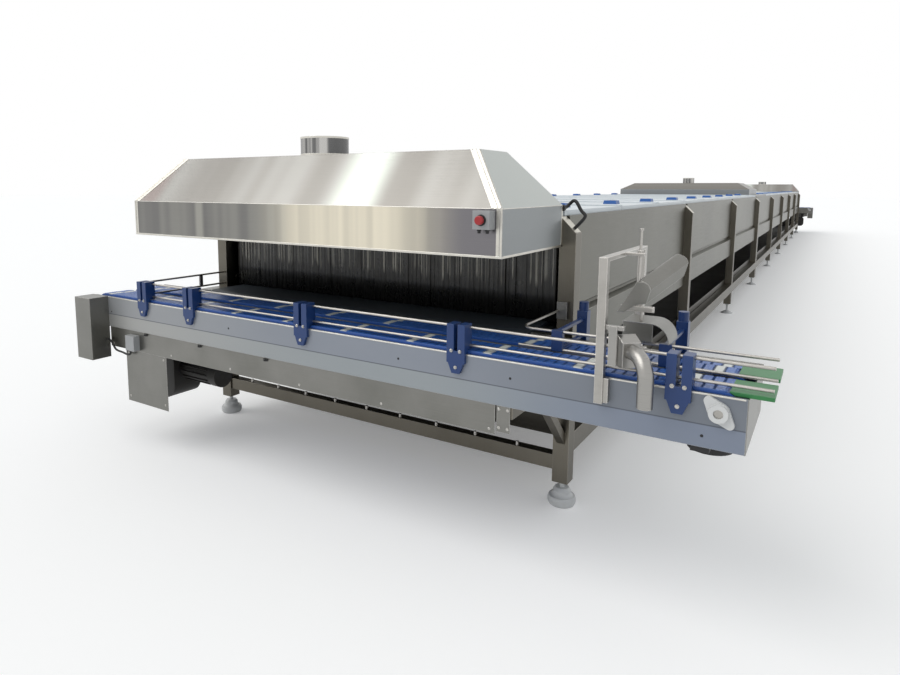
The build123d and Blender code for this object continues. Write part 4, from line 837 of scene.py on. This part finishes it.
wander = random_value(brick_tree, "FLOAT_VECTOR", back.outputs[0], give["Wander"], give["Seed"])
place = add_node(brick_tree, "ShaderNodeVectorMath", [(0, place), (1, wander)], operation="ADD").outputs[0]
points = add_node(brick_tree, "GeometryNodePoints", [("Count", give["Count"]), ("Position", place)])
marked = math_node(brick_tree, "COMPARE", math_node(brick_tree, "MODULO", row, give["Marked Every"]), give["Marked First"])
store = add_node(brick_tree, "GeometryNodeStoreNamedAttribute", [("Geometry", points.outputs[0])], data_type="FLOAT", domain="POINT")
store.inputs["Name"].default_value = "marked"
brick_tree.links.new(marked, [s for s in store.inputs if s.name == "Value" and s.enabled][0])
yaw = random_value(brick_tree, "FLOAT", math_node(brick_tree, "MULTIPLY", give["Turn"], -1.0), give["Turn"], give["Seed"])
spin = add_node(brick_tree, "ShaderNodeCombineXYZ", [("Z", yaw)])
spin = add_node(brick_tree, "FunctionNodeEulerToRotation", [("Euler", spin.outputs[0])])
copies = add_node(brick_tree, "GeometryNodeInstanceOnPoints", [("Points", store.outputs[0]), ("Instance", give["Geometry"]), ("Rotation", spin.outputs[0])])
make_real(brick_tree, end, copies.outputs[0], give["Finish"])
print("tree ready:", brick_tree.name)

# %% [markdown]
# ## Strip curtain
# Narrow strips of clear dark plastic hang in the mouth, side by side and a little turned, each one slightly arched.
# Streaks of the hood's light are painted on their upper parts as highlights, and their lower parts are painted darker
# as shade.
# One arched strip is built as a closed thin shell, and the tree hangs a row of seventy-five.

# %% The curtain
strip_count = 75
curtain_low, curtain_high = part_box("strip_curtains")
curtain_top, curtain_base = curtain_high[2], curtain_low[2]
strip_pitch = (curtain_high[0] - curtain_low[0] - 0.040) / (strip_count - 1)
strip_half, strip_arch, strip_wall = 0.0205, 0.006, 0.0016
work = bmesh.new()
across_layer = work.verts.layers.float.new("across")
columns, levels = 8, 4
shells = []
for lift in (0.0, strip_wall):
    grid = []
    for i in range(columns + 1):
        share = 2 * i / columns - 1
        line = []
        for j in range(levels + 1):
            fall = j / levels
            depth = -strip_arch * (1 - share * share) * (1 - 0.25 * fall) - lift + 0.003 * math.sin(2.6 * fall)
            vertex = work.verts.new((share * strip_half, depth, -fall * (curtain_top - curtain_base)))
            vertex[across_layer] = share
            line.append(vertex)
        grid.append(line)
    shells.append(grid)
for i in range(columns):
    for j in range(levels):
        for grid in shells:
            work.faces.new((grid[i][j], grid[i + 1][j], grid[i + 1][j + 1], grid[i][j + 1]))
inner, outer = shells
for i in range(columns):
    for j in (0, levels):
        work.faces.new((inner[i][j], inner[i + 1][j], outer[i + 1][j], outer[i][j]))
for j in range(levels):
    for i in (0, columns):
        work.faces.new((inner[i][j], inner[i][j + 1], outer[i][j + 1], outer[i][j]))
strip_mesh = to_mesh(work, "one_strip")

material, tree, shader = new_finish("clear_dark_strip", Specular_IOR_Level=0.5)
place, (x, y, z) = metres(tree)
across = tree.nodes.new("ShaderNodeAttribute")
across.attribute_name = "across"
share = across.outputs["Fac"]
# Painted highlights: streaks of the hood's light on one side of each strip's arch, on the upper part only.
lean = math_node(tree, "SUBTRACT", streaks(tree, x, 21.0, 0.3, 0.7, seed=2.0), 0.5)
peak = band(tree, math_node(tree, "ADD", share, lean), 0.10, 0.10, 0.22)
second_peak = times(tree, band(tree, math_node(tree, "SUBTRACT", share, lean), 0.72, 0.05, 0.12), 0.5)
strength = streaks(tree, x, 13.0, 0.36, 0.62, seed=6.0)
end_height = math_node(tree, "ADD", 1.055, times(tree, streaks(tree, x, 17.0, 0.2, 0.8, seed=9.0), 0.06))
above = math_node(tree, "MULTIPLY", math_node(tree, "SUBTRACT", z, end_height), 26.0, clamp=True)
painted_hood_highlight = times(tree, times(tree, math_node(tree, "MAXIMUM", peak, second_peak), strength), above)
# Painted shade: the strips grow darker towards the bottom.
painted_shade_below = mix_colour(tree, smooth_step(tree, z, 0.98, 1.12), (0.010, 0.010, 0.010), (0.052, 0.049, 0.040))
strip_tone = mix_colour(tree, times(tree, streaks(tree, x, 70.0, 0.3, 0.7), 0.7), painted_shade_below, (0.020, 0.020, 0.018))
strip_tone = mix_colour(tree, painted_hood_highlight, strip_tone, (0.56, 0.53, 0.44))
tree.links.new(strip_tone, shader.inputs["Base Color"])
wave = add_node(tree, "ShaderNodeTexNoise", [("Vector", place)], Scale=14.0, Detail=2.0)
tree.links.new(smooth_step(tree, wave.outputs["Fac"], -0.6, 2.4), shader.inputs["Roughness"])
strip_plastic = material

curtain_mesh = run_tree(
    "strip_curtain_rows",
    brick_tree,
    strip_mesh,
    {
        "Count": strip_count,
        "Start": (curtain_low[0] + 0.020, front + 0.073, curtain_top),
        "Row Step": (strip_pitch, 0.0, 0.0),
        "Turn": 0.16,
        "Wander": (0.004, 0.0035, 0.0),
        "Seed": 11,
        "Finish": strip_plastic,
    },
)
work = bmesh.new()
work.from_mesh(curtain_mesh)
with_far_end(work)
work.to_mesh(curtain_mesh)
work.free()
for face in curtain_mesh.polygons:
    face.use_smooth = True
place_piece(curtain_mesh, "hanging_strips", replaced=("strip_curtains",))

# %% [markdown]
# ## Modules of the lane belts
# The two lanes carry chains of blue modules, two half-width tiles side by side, each row a half
# step off its neighbour. Every tenth row is white. A tile is a thin plate with a comb of hinge
# fingers on both long edges, which gives the belt its fine dotted look. The tree sets the tiles
# in bricks and stores a mark on the white ones, which the material reads.

# %% Lane modules
lane_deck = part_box("lane_belts")[1][2]
lane_pitch, tile_width, fingers = 0.03735, 0.0845, 7


def comb_tile(length, width, teeth, thick):
    """A hinged belt tile: a thin plate with a comb of fingers on its two edges."""
    work = bmesh.new()
    tooth = width / (2 * teeth)
    outline = []
    for i in range(teeth):
        low_y = -width / 2 + 2 * i * tooth
        outline += [(length / 2, low_y), (length / 2, low_y + tooth), (length / 2 - 0.010, low_y + tooth), (length / 2 - 0.010, low_y + 2 * tooth)]
    for i in reversed(range(teeth)):
        low_y = -width / 2 + 2 * i * tooth
        outline += [(-length / 2 + 0.010, low_y + 2 * tooth - 0.0012), (-length / 2 + 0.010, low_y + tooth + 0.0012), (-length / 2, low_y + tooth + 0.0012), (-length / 2, low_y + 0.0012)]
    bottom = [work.verts.new((a, b, 0.0)) for a, b in outline]
    top = [work.verts.new((a, b, thick)) for a, b in outline]
    work.faces.new(bottom[::-1])
    work.faces.new(top)
    for i in range(len(outline)):
        j = (i + 1) % len(outline)
        work.faces.new((bottom[i], bottom[j], top[j], top[i]))
    return to_mesh(work, "one_tile")


material, tree, shader = new_finish("lane_module_plastic", Specular_IOR_Level=0.5, Roughness=0.35)
place, (x, y, z) = metres(tree)
mark = tree.nodes.new("ShaderNodeAttribute")
mark.attribute_name = "marked"
cloud = use_effect(tree, clouds, Size=0.25, Sharpness=0.35).outputs["Mask"]
module_tone = mix_colour(tree, cloud, (0.012, 0.075, 0.33), (0.020, 0.120, 0.45))
cell = tree.nodes.new("ShaderNodeTexVoronoi")
tree.links.new(place, cell.inputs["Vector"])
cell.inputs["Scale"].default_value = 95.0
# Painted glints: small pale spots on the modules towards the +X end.
glints = times(tree, smooth_step(tree, math_node(tree, "SUBTRACT", 0.42, cell.outputs["Distance"]), 0.0, 0.16), smooth_step(tree, x, 0.6, 1.9))
module_tone = mix_colour(tree, times(tree, glints, 0.45), module_tone, (0.30, 0.42, 0.72))
module_tone = mix_colour(tree, mark.outputs["Fac"], module_tone, (0.70, 0.72, 0.68))
# The edge mask paints a highlight along the tile edges.
edge = use_effect(tree, edges, Radius=0.0015).outputs["Mask"]
module_tone = mix_colour(tree, times(tree, edge, 0.35), module_tone, (0.35, 0.48, 0.78))
tree.links.new(module_tone, shader.inputs["Base Color"])
module_plastic = material

rows = int(round((1.979 + 1.555) / lane_pitch))
work = bmesh.new()
for lane_y, first_mark in ((front - 0.565, 1), (front - 0.321, 3)):
    lane_mesh = run_tree(
        "one_lane",
        brick_tree,
        comb_tile(lane_pitch + 0.0085, tile_width, fingers, 0.0022),
        {
            "Count": 2 * rows,
            "Columns": 2,
            "Start": (-1.555 + lane_pitch / 2, lane_y - 0.0425, lane_deck + 0.0002),
            "Row Step": (lane_pitch, 0.0, 0.0),
            "Column Step": (0.0, 0.085, 0.0),
            "Odd Shift": (lane_pitch / 2, 0.0, 0.0),
            "Marked Every": 10,
            "Marked First": first_mark,
            "Finish": module_plastic,
        },
    )
    work.from_mesh(lane_mesh)
    bpy.data.meshes.remove(lane_mesh)
with_far_end(work)
lane_mesh = bpy.data.meshes.new("lane_modules")
work.to_mesh(lane_mesh)
work.free()
place_piece(lane_mesh, "lane_modules", module_plastic)

# %% [markdown]
# ## Bolts, screws and round marks
# Fixings sit on brackets, bearings, covers and boxes and look in four directions. A mesh of
# loose points carries their places, and an attribute says which way each one faces. The tree
# builds a washer and a hexagon head and turns them to that direction.

# %% A tree for fixings
bolt_tree, start, end = geometry_tree(
    "fixings_on_points",
    [
        ("Washer Radius", "NodeSocketFloat", 0.009),
        ("Washer Height", "NodeSocketFloat", 0.0015),
        ("Head Radius", "NodeSocketFloat", 0.0065),
        ("Head Height", "NodeSocketFloat", 0.005),
        ("Head Sides", "NodeSocketInt", 6),
        ("Finish", "NodeSocketMaterial", None),
    ],
)
give = start.outputs
discs = []
for radius, height, sides, base in (("Washer Radius", "Washer Height", 18, None), ("Head Radius", "Head Height", "Head Sides", "Washer Height")):
    disc = add_node(bolt_tree, "GeometryNodeMeshCylinder", [("Radius", give[radius]), ("Depth", give[height])])
    if isinstance(sides, str):
        bolt_tree.links.new(give[sides], disc.inputs["Vertices"])
    else:
        disc.inputs["Vertices"].default_value = sides
    lift = math_node(bolt_tree, "MULTIPLY", give[height], 0.5)
    if base:
        lift = math_node(bolt_tree, "ADD", lift, give[base])
    up = add_node(bolt_tree, "ShaderNodeCombineXYZ", [("Z", lift)])
    discs.append(add_node(bolt_tree, "GeometryNodeTransform", [("Geometry", disc.outputs["Mesh"]), ("Translation", up.outputs[0])]).outputs[0])
joined = bolt_tree.nodes.new("GeometryNodeJoinGeometry")
for disc in discs:
    bolt_tree.links.new(disc, joined.inputs[0])
look = add_node(bolt_tree, "GeometryNodeInputNamedAttribute", data_type="FLOAT_VECTOR", Name="facing")
aim = add_node(bolt_tree, "FunctionNodeAlignRotationToVector", [("Vector", [s for s in look.outputs if s.enabled][0])], axis="Z")
copies = add_node(bolt_tree, "GeometryNodeInstanceOnPoints", [("Points", give["Geometry"]), ("Instance", joined.outputs[0]), ("Rotation", aim.outputs[0])])
make_real(bolt_tree, end, copies.outputs[0], give["Finish"])


def fixings(name, places, slot, finish, **sizes):
    """Set a fixing at each (point, facing) of the near end and again at the far end."""
    both = [(Vector(p), Vector(f)) for p, f in places]
    both += [(Vector((-p.x, -p.y, p.z)), Vector((-f.x, -f.y, f.z))) for p, f in both]
    mesh = bpy.data.meshes.new(name + "_points")
    mesh.from_pydata([p for p, f in both], [], [])
    look = mesh.attributes.new("facing", "FLOAT_VECTOR", "POINT")
    for item, (p, f) in zip(look.data, both):
        item.vector = f
    values = {key.replace("_", " "): value for key, value in sizes.items()}
    made = run_tree(name, bolt_tree, mesh, {**values, "Finish": finish})
    return place_piece(made, name)


bolt_steel = steel("bolt_steel", (0.30, 0.29, 0.27), (0.62, 0.60, 0.56), grain=(60.0, 60.0, 60.0), cloud=0.02, edge=0.0008)
ahead, right, up = (0, -1, 0), (1, 0, 0), (0, 0, 1)
bracket_face = front - 0.665 - 0.016
places = []
for x in (-1.130, -0.710, 0.130, 0.990, 1.850):
    places += [((x, bracket_face, 0.836), ahead), ((x - 0.020, bracket_face, 0.905), ahead), ((x + 0.020, bracket_face, 0.905), ahead)]
fixings("bracket_bolts", places, "frame_steel", bolt_steel, Washer_Radius=0.0075, Head_Radius=0.0055, Head_Height=0.004)

cover_face = front - 0.659
places = [((x, cover_face, z), ahead) for x in (-1.320, -0.980) for z in (0.285, 0.560)]
places += [((x, front - 0.662, z), ahead) for x in (1.182, 1.220) for z in (0.612, 0.690)]
places += [((x, front - 0.662, 0.600), ahead) for x in (-1.47, -0.90, -0.40, 0.10, 0.60, 1.14)]
fixings("sheet_screws", places, "frame_steel", bolt_steel, Washer_Radius=0.0062, Washer_Height=0.0008, Head_Radius=0.0042, Head_Height=0.0018, Head_Sides=16)

places = [((x, front - 0.665, 0.825), ahead) for x in (-0.400, 0.695, 1.229)]
places += [((x, front - 0.665, z), ahead) for x, z in ((-1.47, 0.80), (1.93, 0.745))]
fixings("hole_plugs", places, "black_plastic", black_rubber, Washer_Radius=0.0052, Washer_Height=0.0006, Head_Radius=0.0036, Head_Height=0.0008, Head_Sides=12)
print("fixings done")

# %% [markdown]
# ## Lids, posts and small fittings
# Every blue lifting pad on the roof has a white plug in its middle and every lid a raised seam on
# its two long edges. The posts are tubes cut at forty-five degrees, and the plate welded over the
# cut is brighter than the tube.

# %% Roof lids
pad_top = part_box("cover_handles")[1][2]
lid_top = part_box("roof_covers")[1][2]
lid_rows = [i for i in range(24) if i not in (9, 10)]
print("lids:", len(lid_rows))
mesh = bpy.data.meshes.new("pad_points")
spots = [(x, -11.5 + i, pad_top) for i in lid_rows for x in (-0.97, 0.97)]
mesh.from_pydata(spots, [], [])
look = mesh.attributes.new("facing", "FLOAT_VECTOR", "POINT")
for item in look.data:
    item.vector = up
made = run_tree("pad_plugs", bolt_tree, mesh, {"Washer Radius": 0.021, "Washer Height": 0.0016, "Head Radius": 0.012, "Head Height": 0.0014, "Head Sides": 16, "Finish": white_plastic})
place_piece(made, "pad_plugs")

work = bmesh.new()
for i in lid_rows:
    for edge_y in (-12.0 + i + 0.014, -12.0 + i + 0.986):
        lath(work, (-1.172, edge_y, lid_top), (1.172, edge_y, lid_top), (0, 0, 1), 0.018, 0.006, 0.002)
place_piece(to_mesh(work, "lid_seams"), "lid_seams", cover_shell)

# %% Post caps
work = bmesh.new()
post_lines = [-12.0 + 3.0 * i for i in range(9) if i != 3] + [-3.045, -2.955]
bevel = math.sqrt(0.5)
for y in post_lines:
    for hand in (-1, 1):
        low = Vector((hand * 1.2505, y, 1.3595)) + Vector((-hand * 0.004, 0, 0.004))
        high = Vector((hand * 1.1700, y, 1.4400)) + Vector((hand * 0.004, 0, -0.004))
        lath(work, low, high, (hand * bevel, 0, bevel), 0.072, 0.0012)
cap_steel = steel("bright_post_cap", (0.45, 0.43, 0.37), (0.66, 0.64, 0.57), grain=(200.0, 40.0, 200.0), cloud=0.08, edge=0.001)
place_piece(to_mesh(work, "post_caps"), "post_caps", cap_steel)

# %% Flue rims, stop collars, glands and clips
work = bmesh.new()
flue_y, flue_roof = front - 0.327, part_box("end_flues")[1][2]


def rolled_rim(work, centre, radius, height):
    """A thin raised band round a pipe's end, closed on itself."""
    profile = [(radius - 0.0012, -height), (radius + 0.0016, -height), (radius + 0.0016, 0.0), (radius - 0.0012, 0.0)]
    rings = []
    for i in range(48):
        angle = 2 * math.pi * i / 48
        rings.append([work.verts.new(Vector(centre) + Vector((r * math.cos(angle), r * math.sin(angle), h))) for r, h in profile])
    for ring, following in zip(rings, rings[1:] + rings[:1]):
        for k in range(4):
            m = (k + 1) % 4
            work.faces.new((ring[k], ring[m], following[m], following[k]))


rolled_rim(work, (0, flue_y, flue_roof), 0.125, 0.010)
rolled_rim(work, (0, flue_y, hood_roof + 0.009), 0.125, 0.009)
with_far_end(work)
rolled_rim(work, (0, -2.19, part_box("middle_flue")[1][2]), 0.095, 0.010)
place_piece(to_mesh(work, "flue_rims"), "flue_rims", trim_steel)

stop_x, stop_z, stop_face = 1.112, 1.447, front - 0.712
work = bmesh.new()
turned(work, (stop_x, stop_face, stop_z), ahead, [(0.0, -0.002), (0.0225, -0.002), (0.0225, 0.0015), (0.0205, 0.0035), (0.0135, 0.0035), (0.0, 0.0035)])
for x in (stop_x - 0.018, stop_x + 0.018):
    turned(work, (x, front - 0.690, stop_z - 0.0365), (0, 0, -1), [(0.0, -0.001), (0.009, -0.001), (0.009, 0.006), (0.0065, 0.008), (0.0065, 0.016), (0.0, 0.016)], sides=12)
with_far_end(work)
place_piece(to_mesh(work, "stop_collars"), "stop_collars", black_rubber)

work = bmesh.new()
clip = [(-0.016, 0.0), (0.016, 0.0), (0.010, 0.007), (0.0, 0.010), (-0.013, 0.003)]
for x in (-1.132, -0.644, -0.130):
    bar(work, (x, front - 0.664, 0.688), (x, front - 0.664, 0.700), (0, -1, 0), clip)
    turned(work, (x + 0.004, front - 0.672, 0.694), (0.4, -1, 0.2), [(0.0, -0.001), (0.0035, -0.001), (0.0035, 0.008), (0.0, 0.009)], sides=10)
with_far_end(work)
place_piece(to_mesh(work, "plate_clips"), "plate_clips", black_rubber)

work = bmesh.new()
lath(work, (-1.498, front - 0.665, 0.8905), (2.055, front - 0.665, 0.8905), (0, -1, 0), 0.006, 0.0012)
with_far_end(work)
place_piece(to_mesh(work, "plate_hems"), "plate_hems", trim_steel)
print("small fittings done")

# %% Keep the boxes for comparison and finish
low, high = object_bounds()
print("visual box:", [round(v, 3) for v in (*low, *high)])
